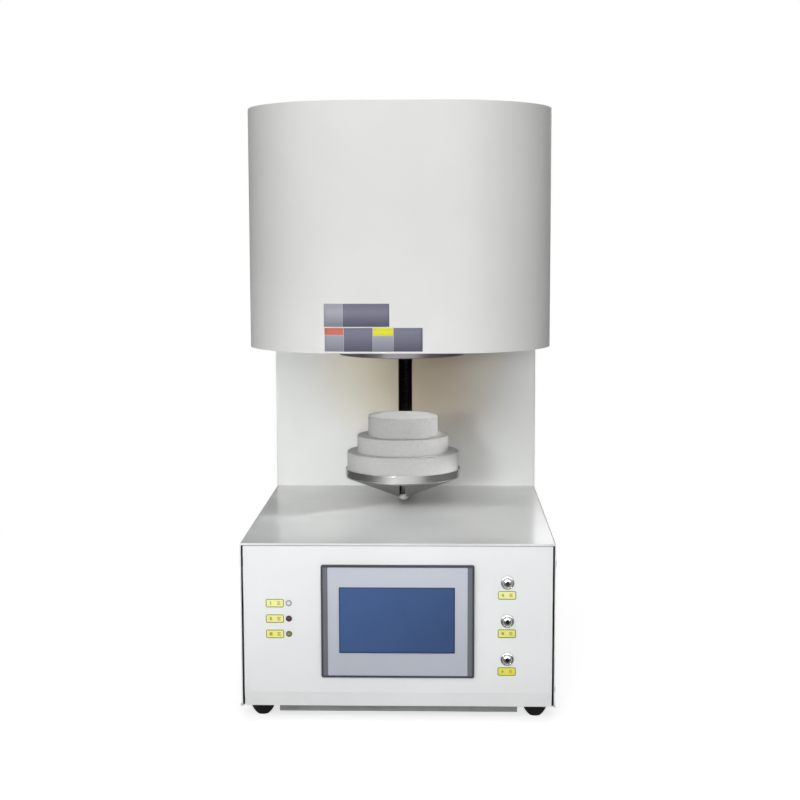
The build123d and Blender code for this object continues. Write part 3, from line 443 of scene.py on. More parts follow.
def ground_bar(name, colour, roughness):
    """Ground or cast metal with upright grain and an oily sheen in patches."""
    finish = Finish(name, Metallic=1.0)
    grain = finish.clouds(1300, 2, vector=finish.scaled(finish.place, (1.0, 1.0, 0.2)))
    oil = finish.clouds(34, 3)
    finish.surface(
        base_color=finish.mix(oil.smooth(0.4, 0.7) * 0.5, colour, dimmed(colour, 0.75)),
        roughness=roughness + grain * 0.14 - oil * 0.06,
    )
    return finish.relief(grain, 0.01)


def stacked(height, pitch):
    """Waves from 0 to 1 with a pitch in metres, for the edges of thin layers."""
    return (height * (2 * math.pi / pitch)).sine() * 0.5 + 0.5


def motor_finish(name, colour, end_colour):
    """Black motor stack between bare cast end bells, laminated round its middle."""
    low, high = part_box("lift_motor")
    finish = Finish(name)
    end_bell = (abs(finish.z - (low.z + high.z) / 2)).above((high.z - low.z) * 0.36)
    layers = stacked(finish.z, 1.1 * MILLIMETRE)
    grain = finish.clouds(700, 3)
    finish.surface(
        base_color=finish.mix(end_bell, colour, end_colour),
        metallic=end_bell,
        roughness=0.45 + grain * 0.15,
    )
    return finish.relief(layers * (1 - end_bell) * 0.7 + grain * 0.3, 0.08)


def laminated_iron(name, colour):
    """Stacked, varnished transformer iron."""
    finish = Finish(name, Metallic=0.5)
    layers = stacked(finish.y, 1.2 * MILLIMETRE)
    varnish = finish.clouds(40, 4)
    finish.surface(
        base_color=finish.mix(layers * 0.5 + varnish * 0.4, dimmed(colour, 0.7), colour),
        roughness=0.34 + varnish * 0.2,
    )
    return finish.relief(layers, 0.08)


def copper_winding(name, colour):
    """Turns of enamelled wire laid side by side, with painted shade in the grooves between them."""
    finish = Finish(name, Metallic=0.85)
    wire = 2.4 * MILLIMETRE
    turns = abs((finish.z * (math.pi / wire)).sine())
    varnish = finish.clouds(130, 4)
    # Painted shade darkens the grooves between the turns
    finish.surface(
        base_color=finish.mix(turns, dimmed(colour, 0.45), colour),
        roughness=0.28 + varnish * 0.22,
    )
    return finish.relief(turns, 0.6)


def heat_sink(name, colour, module_colour):
    """Extruded aluminium below, black moulded module above."""
    module_height = 40.1 * MILLIMETRE
    finish = Finish(name)
    module = finish.z.above(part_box("power_controller")[1].z - module_height)
    lines = finish.clouds(1200, 2, vector=finish.scaled(finish.place, (1.0, 0.03, 1.0)))
    finish.surface(
        base_color=finish.mix(module, colour, module_colour),
        metallic=1 - module,
        roughness=0.34 + lines * 0.16 + module * 0.15,
    )
    return finish.relief(lines, 0.03)


def cast_ceramic(name, colour, glaze):
    """Fired ceramic with dark specks."""
    finish = Finish(name, Coat_Weight=glaze, Coat_Roughness=0.2)
    specks = finish.cells(640).smooth(0.04, 0.14)
    lumps = finish.clouds(300, 4, 0.6)
    finish.surface(
        base_color=finish.mix(specks, dimmed(colour, 0.7), colour),
        roughness=0.6 + lumps * 0.25,
    )
    return finish.relief(lumps, 0.12)


class FurnaceSettings(bpy.types.PropertyGroup):
    """Colours and sizes that a user would change."""

    hood_colour: colour_property("Hood", "Powder coat of the hood and column", 244, 245, 242)
    panel_colour: colour_property("Front panel", "Powder coat of the base's front", 245, 247, 247)
    deck_colour: colour_property("Deck", "Paint of the deck and the base's sides", 236, 238, 238)
    fibre_colour: colour_property("Fibre", "Hearth discs and insulation", 200, 200, 198)
    slate_colour: colour_property("Slate", "Touch panel frame", 110, 113, 121)
    rim_colour: colour_property("Rim", "Outer rim of the touch panel frame", 56, 59, 67)
    face_colour: colour_property("Panel face", "Membrane round the screen", 200, 205, 216)
    screen_colour: colour_property("Screen", "Backlit screen", 58, 83, 127)
    tag_colour: colour_property("Tags", "Small plates beside lamps and buttons", 240, 236, 92)
    border_colour: colour_property("Tag borders", "Printed borders of the tags", 98, 102, 76)
    mark_colour: colour_property("Tag marks", "Printed marks on the tags", 182, 172, 62)
    red_colour: colour_property("Red cell", "Red cell of the hood's plate", 214, 116, 100)
    plate_colour: colour_property("Dark cells", "Dark cells of the hood's plate", 122, 123, 142)
    yellow_colour: colour_property("Yellow cell", "Yellow cell of the hood's plate", 236, 234, 44)
    pale_colour: colour_property("Pale cell", "Pale cells of the hood's plate", 172, 175, 188)
    hood_radius: FloatProperty(
        name="Hood radius", description="Radius of the hood's front corners", default=0.150, unit="LENGTH"
    )
    film: FloatProperty(
        name="Film", description="Thickness of the printed plates on the hood", default=0.0003, unit="LENGTH"
    )
    print_height: FloatProperty(
        name="Print height", description="How far the tags' print stands up", default=0.00005, unit="LENGTH"
    )
    chip_depth: FloatProperty(
        name="Chip depth", description="Deepest chip in the fibre discs' edges", default=0.0011, unit="LENGTH"
    )
    disc_segments: IntProperty(
        name="Disc segments", description="Faces round each fibre disc", default=288, min=32
    )
    screen_glow: FloatProperty(name="Screen glow", description="Strength of the backlight", default=0.28)
    camera_place: FloatVectorProperty(
        name="Camera",
        description="Where the camera stands",
        subtype="TRANSLATION",
        default=(0.0565, -2.1761, 0.6505),
    )
    camera_heading: FloatProperty(
        name="Heading", description="Camera's turn to the left", subtype="ANGLE", default=0.027858
    )
    camera_tilt: FloatProperty(
        name="Tilt", description="Camera's tilt below the horizon", subtype="ANGLE", default=0.112920
    )
    camera_roll: FloatProperty(
        name="Roll", description="Camera's roll", subtype="ANGLE", default=-0.0026612
    )
    camera_lens: FloatProperty(name="Lens", description="Focal length", default=65.25, unit="CAMERA")
    room_light: FloatProperty(name="Room", description="Strength of the light from all round", default=0.3)


def furnace_settings():
    """The furnace's settings in this scene."""
    return bpy.context.scene.furnace


def shown_mesh(name, build, finishes, body):
    """Makes a mesh piece by build(bmesh), with its finishes, and lets it ride on a body."""
    mesh = bpy.data.meshes.new(name)
    shape = bmesh.new()
    build(shape)
    bmesh.ops.recalc_face_normals(shape, faces=shape.faces)
    shape.to_mesh(mesh)
    shape.free()
    for finish in finishes:
        mesh.materials.append(finish)
    piece = bpy.data.objects.new(name, mesh)
    bpy.context.scene.collection.objects.link(piece)
    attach(piece, body)
    return piece


def refinish(node, finish):
    """Gives one CAD node a finish of its own."""
    materials = frame["nodes"][node].data.materials
    materials.clear()
    materials.append(finish)


def dress(finishes):
    """Gives every CAD node the finish of its material slot, where there is one."""
    for part in frame["record"]["subparts"]:
        if part["material_slot"] in finishes:
            refinish(part["node"], finishes[part["material_slot"]])


class FURNACE_OT_stage(bpy.types.Operator):
    """Pale floor, soft studio light and the photograph's camera"""

    bl_idname = "furnace.stage"
    bl_label = "Stage"

    def execute(self, context):
        add_camera()
        add_floor()
        add_lamps()
        add_room()
        context.scene.view_settings.view_transform = "Standard"
        return {"FINISHED"}


def add_camera():
    """Camera at the photograph's place."""
    chosen = furnace_settings()
    camera = bpy.data.objects.new("camera", bpy.data.cameras.new("camera"))
    camera.data.lens = chosen.camera_lens
    camera.data.sensor_width = 36
    turn = Matrix.Rotation(chosen.camera_heading, 4, "Z")
    tilt = Matrix.Rotation(math.pi / 2 - chosen.camera_tilt, 4, "X")
    roll = Matrix.Rotation(chosen.camera_roll, 4, "Z")
    camera.matrix_world = Matrix.Translation(chosen.camera_place) @ turn @ tilt @ roll
    bpy.context.scene.collection.objects.link(camera)
    bpy.context.scene.camera = camera


def add_floor():
    """Large pale floor that keeps the object's shadow and fades to white away from it."""
    mesh = bpy.data.meshes.new("floor")
    shape = bmesh.new()
    bmesh.ops.create_grid(shape, x_segments=8, y_segments=8, size=14)
    shape.to_mesh(mesh)
    shape.free()
    floor = bpy.data.objects.new("floor", mesh)
    bpy.context.scene.collection.objects.link(floor)
    paint = Finish("floor_paint", Roughness=0.9, Specular_IOR_Level=0.1)
    grain = paint.clouds(120, 2)
    paint.surface(base_color=paint.mix(grain, (0.64, 0.64, 0.64), (0.67, 0.67, 0.67)))
    camera, mirror = background_rays(paint)
    away = paint.from_axis((0.0, 0.0))
    sideways = (abs(paint.x) / (away + 0.05)).smooth(0.25, 0.85)
    shown = (1 - sideways) * (paint.y * -1).smooth(0.9, 1.5)
    strength = camera + mirror * (0.14 + shown * 0.95)
    white = paint.add("ShaderNodeEmission", inputs={"Color": (1, 1, 1), "Strength": strength})
    lift = paint.add("ShaderNodeEmission", inputs={"Color": (1, 1, 1), "Strength": camera * 0.7})
    lit = paint.add("ShaderNodeAddShader", inputs=(Value(paint, paint.shader.outputs[0]), lift))
    share = camera * away.smooth(0.5, 1.3) + mirror
    blend = paint.add("ShaderNodeMixShader", inputs=(share, lit, white))
    paint.links.new(blend.socket, paint.nodes["Material Output"].inputs["Surface"])
    mesh.materials.append(paint.material)


def add_lamps():
    """Large soft lamps all round, a beam down the throat, and beams on panel, hearth, deck and column."""
    case = (0.0, 0.0, 0.42)
    hearth = (0.0, 0.0, 0.358)
    deck = (0.0, -0.14, 0.25)
    column = (-0.06, 0.16, 0.38)
    panel = (-0.1, -0.28, 0.26)
    # Name, place, aim, width, height, watts, and spread in degrees
    lamps = (
        ("key_lamp", (-0.1, -2.7, 1.7), case, 2.2, 1.1, 27.0, 180),
        ("low_lamp", (-0.9, -2.5, 0.62), panel, 0.7, 0.4, 0.22, 14),
        ("throat_lamp", (0.0, 0.0, 0.575), hearth, 0.1, 0.1, 0.012, 6),
        ("hearth_lamp", (1.44, 0.28, 0.938), hearth, 0.2, 0.085, 0.045, 1.2),
        ("deck_lamp", (1.2, -0.14, 0.55), deck, 0.24, 0.08, 0.09, 4),
        ("column_lamp", (-0.62, -0.45, 0.3), column, 0.12, 0.06, 0.045, 28),
        ("fill_lamp", (1.2, -2.4, 0.9), case, 0.9, 0.9, 4.6, 180),
        ("side_lamp", (-1.95, -1.5, 1.15), case, 0.9, 0.9, 4.6, 180),
        ("top_lamp", (0.0, -0.2, 2.9), case, 1.6, 1.6, 8.0, 180),
        ("back_lamp", (0.4, 2.8, 1.6), case, 1.8, 1.6, 18.0, 180),
    )
    for name, place, aim, width, height, power, spread in lamps:
        light = bpy.data.lights.new(name, "AREA")
        light.shape = "DISK" if name == "throat_lamp" else "RECTANGLE"
        light.size = width
        light.size_y = height
        light.energy = power
        light.spread = math.radians(spread)
        lamp = bpy.data.objects.new(name, light)
        lamp.location = place
        lamp.visible_camera = False
        lamp.rotation_euler = (Vector(aim) - Vector(place)).to_track_quat("-Z", "Y").to_euler()
        bpy.context.scene.collection.objects.link(lamp)


def background_rays(tree):
    """Masks for what the camera sees, and for what metal and glass show of the background."""
    kinds = ("Camera", "Glossy", "Transmission")
    camera, glossy, clear = [tree.add("ShaderNodeLightPath", output=f"Is {kind} Ray") for kind in kinds]
    return camera, glossy.most(clear)


def add_room():
    """White background; room light that is strongest from the front and weakest from the right."""
    world = bpy.data.worlds.new("room")
    bpy.context.scene.world = world
    tree = Tree(world)
    across, along, up = tree.split(tree.add("ShaderNodeTexCoord", output="Generated"))
    front = (along * -1).smooth(-0.2, 0.9)
    right = across.smooth(0.35, 0.95)
    left = (across * -1).smooth(0.2, 0.95)
    room = (0.6 + front * 1.0 - right * 0.95 - left * 0.38) * furnace_settings().room_light
    window = (along * -1).smooth(0.0, 0.4) * up.smooth(0.05, 0.3)
    reflected = 0.1 + window * 1.05 + along.smooth(0.3, 0.8) * 0.1
    camera, mirror = background_rays(tree)
    strength = camera.most(mirror * reflected + (1 - mirror) * room)
    tree.feed(tree.nodes["Background"].inputs["Color"], (1, 1, 1))
    tree.feed(tree.nodes["Background"].inputs["Strength"], strength)


class FURNACE_OT_case(bpy.types.Operator):
    """Paint and sheet metal of the case"""

    bl_idname = "furnace.case"
    bl_label = "Case"

    def execute(self, context):
        chosen = furnace_settings()
        finishes = {
            "powder_coat": powder_coat("powder_coat", chosen.hood_colour, 0.42),
            # The front panel's folded edges carry near-black painted shade, so the gaps round the panel look
            # dark
            "front_paint": powder_coat(
                "front_paint", chosen.panel_colour, 0.38, layers=((panel_folds_painted_shade, PAINTED_GAP_SHADE),)
            ),
            # The deck's inward faces carry near-black painted shade, so the gaps round the panel look dark
            "deck_paint": powder_coat(
                "deck_paint",
                chosen.deck_colour,
                0.24,
                0.008,
                ((cover_inward_painted_shade, PAINTED_GAP_SHADE),),
                Coat_Weight=0.5,
                Coat_Roughness=0.15,
            ),
            "zinc_steel": zinc_sheet("zinc_steel", (0.58, 0.59, 0.60)),
            "black_steel": satin_black("black_steel", (0.022, 0.022, 0.023)),
            "foot_rubber": rubber("foot_rubber", (0.012, 0.012, 0.012)),
            "screw_steel": bright_metal("screw_steel", (0.60, 0.60, 0.60), 0.22),
        }
        dress(finishes)
        # Painted shade on the column under the throat: a warm darkening across its width and a brown shadow
        # right of the slot
        painted_shade_layers = ((throat_painted_warm_shade, (0.84, 0.76, 0.58)), (throat_painted_shadow, (0.36, 0.27, 0.18)))
        refinish("column_cover", powder_coat("column_paint_painted_shade", chosen.hood_colour, 0.42, layers=painted_shade_layers))
        return {"FINISHED"}


class FURNACE_OT_hearth_metal(bpy.types.Operator):
    """Turned dish, cone, stud, nut and throat ring, and the caps and sleeves of the buttons"""

    bl_idname = "furnace.hearth_metal"
    bl_label = "Turned metal"

    def execute(self, context):
        polished = turned_steel("polished_steel", (0.60, 0.60, 0.59), 0.14, (0.52, 0.50, 0.47))
        ring = turned_steel("ring_steel", (0.46, 0.44, 0.45), 0.24, (0.24, 0.18, 0.22))
        chrome = bright_metal("bright_chrome", (0.84, 0.84, 0.84), 0.05)
        finishes = {"polished_steel": polished, "ring_steel": ring, "bright_chrome": chrome}
        dress(finishes)
        # The cone's steel is darkened as painted shade under the dish
        refinish("hearth_cone", turned_steel("cone_steel_painted_shade", (0.36, 0.36, 0.35), 0.3, (0.24, 0.22, 0.20)))
        add_turned("turned_dish", "hearth_dish", polished, "hearth", dish_section(), up=True)
        add_turned("turned_ring", "throat_ring", ring, "frame", ring_section(), up=True)
        satin = bright_metal("satin_nickel", (0.86, 0.86, 0.85), 0.42)
        refinish("hearth_stud", satin)
        add_turned("turned_nut", "hearth_dome_nut", satin, "hearth", nut_section(), up=True)
        buttons = ("raise", "stop", "lower")
        sleeves = [middle_of(f"button_{name}") for name in buttons]
        # Each cap gets a near-black painted reflection in the middle of its dome
        cap = bright_metal("cap_chrome", (0.84, 0.84, 0.84), 0.05, sleeves)
        for name in buttons:
            add_turned(f"turned_{name}", f"button_{name}", cap, f"{name}_button", cap_section())
        add_sleeves("turned_sleeves", "button_bezels", sleeves, [chrome], sleeve_section())
        return {"FINISHED"}


def middle_of(node):
    """Middle of a CAD node's box."""
    low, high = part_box(node)
    return (low + high) / 2


def millimetres(*points):
    """A half section in metres from one in millimetres."""
    return [(reach * MILLIMETRE, height * MILLIMETRE) for reach, height in points]


def arc(start, middle, end, steps):
    """Points on the circle through three places of a half section."""
    (ax, ay), (bx, by), (cx, cy) = start, middle, end
    twice = 2 * (ax * (by - cy) + bx * (cy - ay) + cx * (ay - by))
    a, b, c = ax * ax + ay * ay, bx * bx + by * by, cx * cx + cy * cy
    x = (a * (by - cy) + b * (cy - ay) + c * (ay - by)) / twice
    y = (a * (cx - bx) + b * (ax - cx) + c * (bx - ax)) / twice
    first = math.atan2(ay - y, ax - x)
    turn = math.remainder(math.atan2(cy - y, cx - x) - first, 2 * math.pi)
    radius = math.hypot(ax - x, ay - y)
    angles = [first + turn * step / steps for step in range(steps + 1)]
    return [(x + radius * math.cos(angle), y + radius * math.sin(angle)) for angle in angles]


def eased(points, size):
    """A closed half section with its corners rounded off by a size."""
    rounded = []
    for index, point in enumerate(points):
        corner = Vector(point)
        before = Vector(points[index - 1]) - corner
        after = Vector(points[(index + 1) % len(points)]) - corner
        reach = min(size, 0.45 * before.length, 0.45 * after.length)
        before, after = before.normalized() * reach, after.normalized() * reach
        shares = (0.0, 0.12, 0.3, 0.5, 0.7, 0.88, 1.0)
        bend = [before * (1 - share) ** 2 + after * share**2 for share in shares]
        rounded += [tuple(corner + away) for away in (before * 1.1, *bend, after * 1.1)]
    return rounded


def skin(shape, rings, closed=False):
    """Joins rings of vertices, where a ring of one vertex is a tip, with smooth faces."""
    pairs = list(zip(rings, rings[1:]))
    if closed:
        pairs.append((rings[-1], rings[0]))
    for inner, outer in pairs:
        count = max(len(inner), len(outer))
        for index in range(count):
            after = (index + 1) % count
            corners = [inner[index % len(inner)], inner[after % len(inner)]]
            corners += [outer[after % len(outer)], outer[index % len(outer)]]
            shape.faces.new(list(dict.fromkeys(corners))).smooth = True


def spin(shape, section, centre, up, closed):
    """Spins a half section of (reach, height) about an upright axis, or about one that faces the front."""
    segments = 128
    rings = []
    for reach, height in section:
        ring = []
        for index in range(segments if reach > 1e-6 else 1):
            angle = 2 * math.pi * index / segments
            across, aside = reach * math.cos(angle), reach * math.sin(angle)
            if up:
                place = (centre.x + across, centre.y + aside, height)
            else:
                place = (centre.x + across, PANEL_LOW.y - height, centre.z + aside)
            ring.append(shape.verts.new(place))
        rings.append(ring)
    skin(shape, rings, closed)


def add_turned(name, node, finish, body, section, up=False):
    """Smoothly turned piece in the place of a CAD node."""
    points, closed = section
    centre = middle_of(node)

    def build(shape):
        spin(shape, points, centre, up, closed)

    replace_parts(shown_mesh(name, build, [finish], body), node)


def add_sleeves(name, node, centres, finishes, section):
    """Several turned rings on the front panel in one piece, each with its finish."""
    points, closed = section

    def build(shape):
        for index, centre in enumerate(centres):
            done = set(shape.faces)
            spin(shape, points, centre, False, closed)
            for face in shape.faces:
                if face not in done:
                    face.material_index = min(index, len(finishes) - 1)

    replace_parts(shown_mesh(name, build, finishes, "frame"), node)


def cap_section():
    """Button cap: stem, dome and a shallow dimple."""
    dome = arc((6.3, 3.4), (5.04, 5.0), (2.6, 6.0), 10)
    dimple = [(1.9, 5.98), (1.2, 5.72), (0.6, 5.5), (0.0, 5.42)]
    return millimetres((0, -8), (6.1, -8), (6.3, -7.8), (6.3, 3.2), *dome, *dimple), False


def sleeve_section():
    """Button sleeve: thread, and a flange that swells to its lip."""
    flange = arc((9.4, 0.9), (8.75, 2.3), (7.1, 3.2), 10)
    points = [(6.6, -11), (8.3, -11), (8.3, 0), (9.4, 0), *flange, (6.75, 3.14), (6.6, 2.9)]
    return millimetres(*points), True


def nut_section():
    """Domed nut under the hearth, from its box."""
    low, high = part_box("hearth_dome_nut")
    radius = (high.x - low.x) / 2
    neck, rise, undercut = 6.3 * MILLIMETRE, 7.0 * MILLIMETRE, 1.2 * MILLIMETRE
    edge = low.z + rise
    sphere = (radius**2 + rise**2) / (2 * rise)
    half_way = radius * 0.55
    middle = (half_way, low.z + sphere - math.sqrt(sphere**2 - half_way**2))
    dome = arc((0.0, low.z), middle, (radius, edge), 16)
    return [*dome, (neck, edge - undercut), (neck, high.z), (0.0, high.z)], False


def dish_section():
    """Dish with a rounded rim and a hole for its stud."""
    low, high = DISH_LOW.z, DISH_HIGH.z
    radius = (DISH_HIGH.x - DISH_LOW.x) / 2
    hole, wall = 2.8 * MILLIMETRE, 1.5 * MILLIMETRE
    inner, floor = radius - wall, low + wall
    points = [(hole, low), (radius, low), (radius, high), (inner, high), (inner, floor), (hole, floor)]
    return eased(points, 0.7 * MILLIMETRE), True


def ring_section():
    """Throat ring: flange under the hood's floor and a round-edged collar."""
    low, high = RING_LOW.z, RING_HIGH.z
    bore, lip, plate = 90 * MILLIMETRE, 9 * MILLIMETRE, 3 * MILLIMETRE
    flange = (RING_HIGH.x - RING_LOW.x) / 2
    collar, under = flange - lip, high - plate
    points = [(bore, low), (collar, low), (collar, under), (flange, under), (flange, high), (bore, high)]
    return eased(points, 1.2 * MILLIMETRE), True


class FURNACE_OT_hearth_discs(bpy.types.Operator):
    """Three fibre discs with soft, chipped edges, and the insulation round the chamber"""

    bl_idname = "furnace.hearth_discs"
    bl_label = "Hearth discs"

    def execute(self, context):
        fibre = fibre_board("fibre_board", furnace_settings().fibre_colour)
        dress({"fibre_board": fibre})
        for seed, level in enumerate(("lower", "middle", "top")):
            node = f"hearth_disc_{level}"

            def build(shape):
                fibre_disc(shape, node, seed)

            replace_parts(shown_mesh(f"fibre_disc_{level}", build, [fibre], "hearth"), node)
        return {"FINISHED"}


def disc_profile(radius, low, high):
    """Half section of a disc from the middle of its underside round to the middle of its top."""
    edge = 0.8 * MILLIMETRE
    steps = 12
    across = [0.0] + [radius - inset for inset in (0.030, 0.016, 0.008, 0.004, 0.002)]
    under = [(reach, low) for reach in across]
    turns = [math.radians(angle) for angle in (8, 30, 60, 82)]
    corner = [(edge * (1 - math.sin(turn)), edge * (1 - math.cos(turn))) for turn in turns]
    lower_edge = [(radius - inset, low + rise) for inset, rise in corner]
    wall = high - low - 2 * edge
    side = [(radius, low + edge + wall * step / steps) for step in range(steps + 1)]
    upper_edge = [(radius - rise, high - inset) for inset, rise in corner]
    over = [(reach, high) for reach in reversed(across)]
    return under + lower_edge + side + upper_edge + over


def fibre_disc(shape, node, seed):
    """Spins a disc inside a CAD node's box, then lets its surface wander inwards and chips its edges."""
    low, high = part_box(node)
    radius = (high.x - low.x) / 2
    profile = disc_profile(radius, low.z, high.z)
    segments = furnace_settings().disc_segments
    chips = edge_chips(radius, low.z, high.z, seed)
    rings = []
    for reach, height in profile:
        if reach == 0:
            rings.append([shape.verts.new((*HEARTH_AXIS, height))])
            continue
        ring = []
        for index in range(segments):
            angle = 2 * math.pi * index / segments
            point = Vector((reach * math.cos(angle), reach * math.sin(angle), height))
            ring.append(shape.verts.new(worn(point, radius, chips, seed) + HEARTH_AXIS.to_3d()))
        rings.append(ring)
    skin(shape, rings)


def edge_chips(radius, low, high, seed):
    """Places, sizes and depths of the chips round a disc's two edges."""
    draw = random.Random(seed)
    chips = []
    for _ in range(26):
        angle = draw.uniform(0, 2 * math.pi)
        height = high if draw.random() < 0.55 else low
        size = draw.uniform(0.0018, 0.0055)
        depth = draw.uniform(0.25, 1.0) * furnace_settings().chip_depth
        chips.append((Vector((radius * math.cos(angle), radius * math.sin(angle), height)), size, depth))
    return chips


def worn(point, radius, chips, seed):
    """A point of a disc moved inwards by its wear."""
    outward = Vector((point.x, point.y, 0.0))
    if outward.length < radius * 0.94:
        return point
    outward.normalize()
    wander = 0.5 + 0.5 * noise.noise(point * 38 + Vector((seed * 7.3, 0, 0)))
    fuzz = 0.5 + 0.5 * noise.noise(point * 420)
    inward = (0.22 * wander + 0.12 * fuzz) * MILLIMETRE
    for place, size, depth in chips:
        nearness = 1 - (point - place).length / size
        if nearness > 0:
            inward += depth * nearness
    return point - outward * inward


class FURNACE_OT_touch_panel(bpy.types.Operator):
    """Slate frame, pale membrane and blue screen of the touch panel"""

    bl_idname = "furnace.touch_panel"
    bl_label = "Touch panel"

    def execute(self, context):
        chosen = furnace_settings()
        finishes = {
            "slate_plastic": bezel_plastic("slate_plastic", chosen.slate_colour, chosen.rim_colour, 0.0028),
            "face_plastic": panel_membrane("face_plastic", chosen.face_colour),
            "screen_glass": screen_glass("screen_glass", chosen.screen_colour, chosen.screen_glow),
            "black_plastic": moulded_plastic("black_plastic", (0.018, 0.018, 0.019), 0.42),
            "grey_plastic": moulded_plastic("grey_plastic", (0.10, 0.105, 0.11), 0.45),
        }
        dress(finishes)
        return {"FINISHED"}


class FURNACE_OT_lamps(bpy.types.Operator):
    """Clear, red and amber lamps in rims of their own colours"""

    bl_idname = "furnace.lamps"
    bl_label = "Lamps"

    def execute(self, context):
        finishes = {
            "clear_lens": lamp_lens("clear_lens", linear(238, 238, 237), 0.12),
            "red_lens": lamp_lens("red_lens", linear(92, 34, 56), 0.0),
            "amber_lens": lamp_lens("amber_lens", linear(160, 152, 104), 0.0),
        }
        dress(finishes)
        rims = [
            printed_plate("rim_grey", linear(158, 158, 160), 0.3),
            printed_plate("rim_maroon", linear(52, 14, 32), 0.3),
            printed_plate("rim_olive", linear(110, 104, 66), 0.3),
        ]
        levels = ("upper", "middle", "lower")
        centres = [middle_of(f"indicator_lens_{level}") for level in levels]
        add_sleeves("lamp_rims", "indicator_bezels", centres, rims, rim_section())
        for level, kind in zip(levels, ("clear_lens", "red_lens", "amber_lens")):
            node = f"indicator_lens_{level}"
            add_turned(f"lens_dome_{level}", node, finishes[kind], "frame", lens_section())
        return {"FINISHED"}


def rim_section():
    """Lamp holder: sleeve and a low rounded rim."""
    points = [(2.9, -9), (3.3, -9), (3.3, 0), (4.2, 0), (4.2, 0.6), (3.6, 1.6), (2.9, 1.6)]
    return eased(millimetres(*points), 0.00025), True


def lens_section():
    """Lamp lens: stem and a low dome."""
    dome = arc((2.8, 1.2), (1.5, 2.44), (0.0, 2.9), 10)
    return millimetres((0, -8), (2.7, -8), (2.8, -7.9), (2.8, 1.0), *dome[:-1], (0.0, 2.9)), False


class FURNACE_OT_tags(bpy.types.Operator):
    """Yellow tags with a printed border and plain marks"""

    bl_idname = "furnace.tags"
    bl_label = "Tags"

    def execute(self, context):
        chosen = furnace_settings()
        # The tags turn paler towards the top of their row
        tag = printed_plate("yellow_tag", chosen.tag_colour, upper_colour=linear(248, 250, 168))
        dress({"yellow_tag": tag})
        inks = [
            printed_plate("tag_border", chosen.border_colour),
            printed_plate("tag_marks", chosen.mark_colour),
        ]
        for index, (centre, size) in enumerate(tag_places()):

            def build(shape):
                tag_print(shape, centre, size, TAG_MARKS[index])

            shown_mesh(f"tag_print_{index + 1}", build, inks, "frame")
        return {"FINISHED"}


def tag_places():
    """Middle and size of each tag's face, read from the CAD node's separate plates."""
    tags = frame["nodes"]["label_tags"]
    shape = bmesh.new()
    shape.from_mesh(tags.data)
    bmesh.ops.remove_doubles(shape, verts=shape.verts, dist=1e-6)
    waiting = set(shape.verts)
    places = []
    while waiting:
        group = {waiting.pop()}
        edge = list(group)
        while edge:
            vertex = edge.pop()
            for link in vertex.link_edges:
                other = link.other_vert(vertex)
                if other in waiting:
                    waiting.discard(other)
                    group.add(other)
                    edge.append(other)
        xs = [vertex.co.x for vertex in group]
        zs = [vertex.co.z for vertex in group]
        centre = Vector(((min(xs) + max(xs)) / 2, (min(zs) + max(zs)) / 2))
        places.append((centre, Vector((max(xs) - min(xs), max(zs) - min(zs)))))
    shape.free()
    return sorted(places, key=lambda place: (place[0].x, -place[0].y))


# Marks as outlines in a square from -1 to 1, each at a side of its tag: an icon and a block of lines
BAR = ((-0.22, -0.8), (0.22, -0.8), (0.22, 0.8), (-0.22, 0.8))
LINE_HIGH = ((-0.8, 0.45), (0.8, 0.45), (0.8, 0.8), (-0.8, 0.8))
LINE_MIDDLE = ((-0.8, -0.17), (0.5, -0.17), (0.5, 0.17), (-0.8, 0.17))
LINE_LOW = ((-0.8, -0.8), (0.8, -0.8), (0.8, -0.45), (-0.8, -0.45))
ARROW_UP = ((-0.75, -0.1), (0.75, -0.1), (0.0, 0.85))
SHAFT_UP = ((-0.25, -0.8), (0.25, -0.8), (0.25, -0.1), (-0.25, -0.1))
ARROW_DOWN = tuple((x, -z) for x, z in reversed(ARROW_UP))
SHAFT_DOWN = tuple((x, -z) for x, z in reversed(SHAFT_UP))
SQUARE = ((-0.62, -0.62), (0.62, -0.62), (0.62, 0.62), (-0.62, 0.62))
LINES = ((1.0, LINE_HIGH), (1.0, LINE_MIDDLE), (1.0, LINE_LOW))
TAG_MARKS = (
    ((-1.0, BAR), *LINES),
    ((-1.12, BAR), (-0.88, BAR), *LINES),
    ((-1.24, BAR), (-1.0, BAR), (-0.76, BAR), *LINES),
    ((-1.0, ARROW_UP), (-1.0, SHAFT_UP), *LINES),
    ((-1.0, SQUARE), *LINES),
    ((-1.0, ARROW_DOWN), (-1.0, SHAFT_DOWN), *LINES),
)


def tag_print(shape, centre, size, marks):
    """Border and marks, printed on the face of one tag."""
    face_y = TAGS_LOW.y
    front_y = face_y - furnace_settings().print_height
    border, mark_size, mark_shift = 0.9 * MILLIMETRE, 2.8 * MILLIMETRE, 5.4 * MILLIMETRE
    half = size / 2
    for low, high in (
        ((-half.x, -half.y + border), (-half.x + border, half.y - border)),
        ((half.x - border, -half.y + border), (half.x, half.y - border)),
        ((-half.x + border, -half.y), (half.x - border, -half.y + border)),
        ((-half.x + border, half.y - border), (half.x - border, half.y)),
    ):
        outline = ((low[0], low[1]), (high[0], low[1]), (high[0], high[1]), (low[0], high[1]))
        flat_print(shape, [(centre.x + x, centre.y + z) for x, z in outline], face_y, front_y, 0)
    for shift, outline in marks:
        middle = centre.x + shift * mark_shift
        points = [(middle + x * mark_size, centre.y + z * mark_size) for x, z in outline]
        flat_print(shape, points, face_y, front_y, 1)


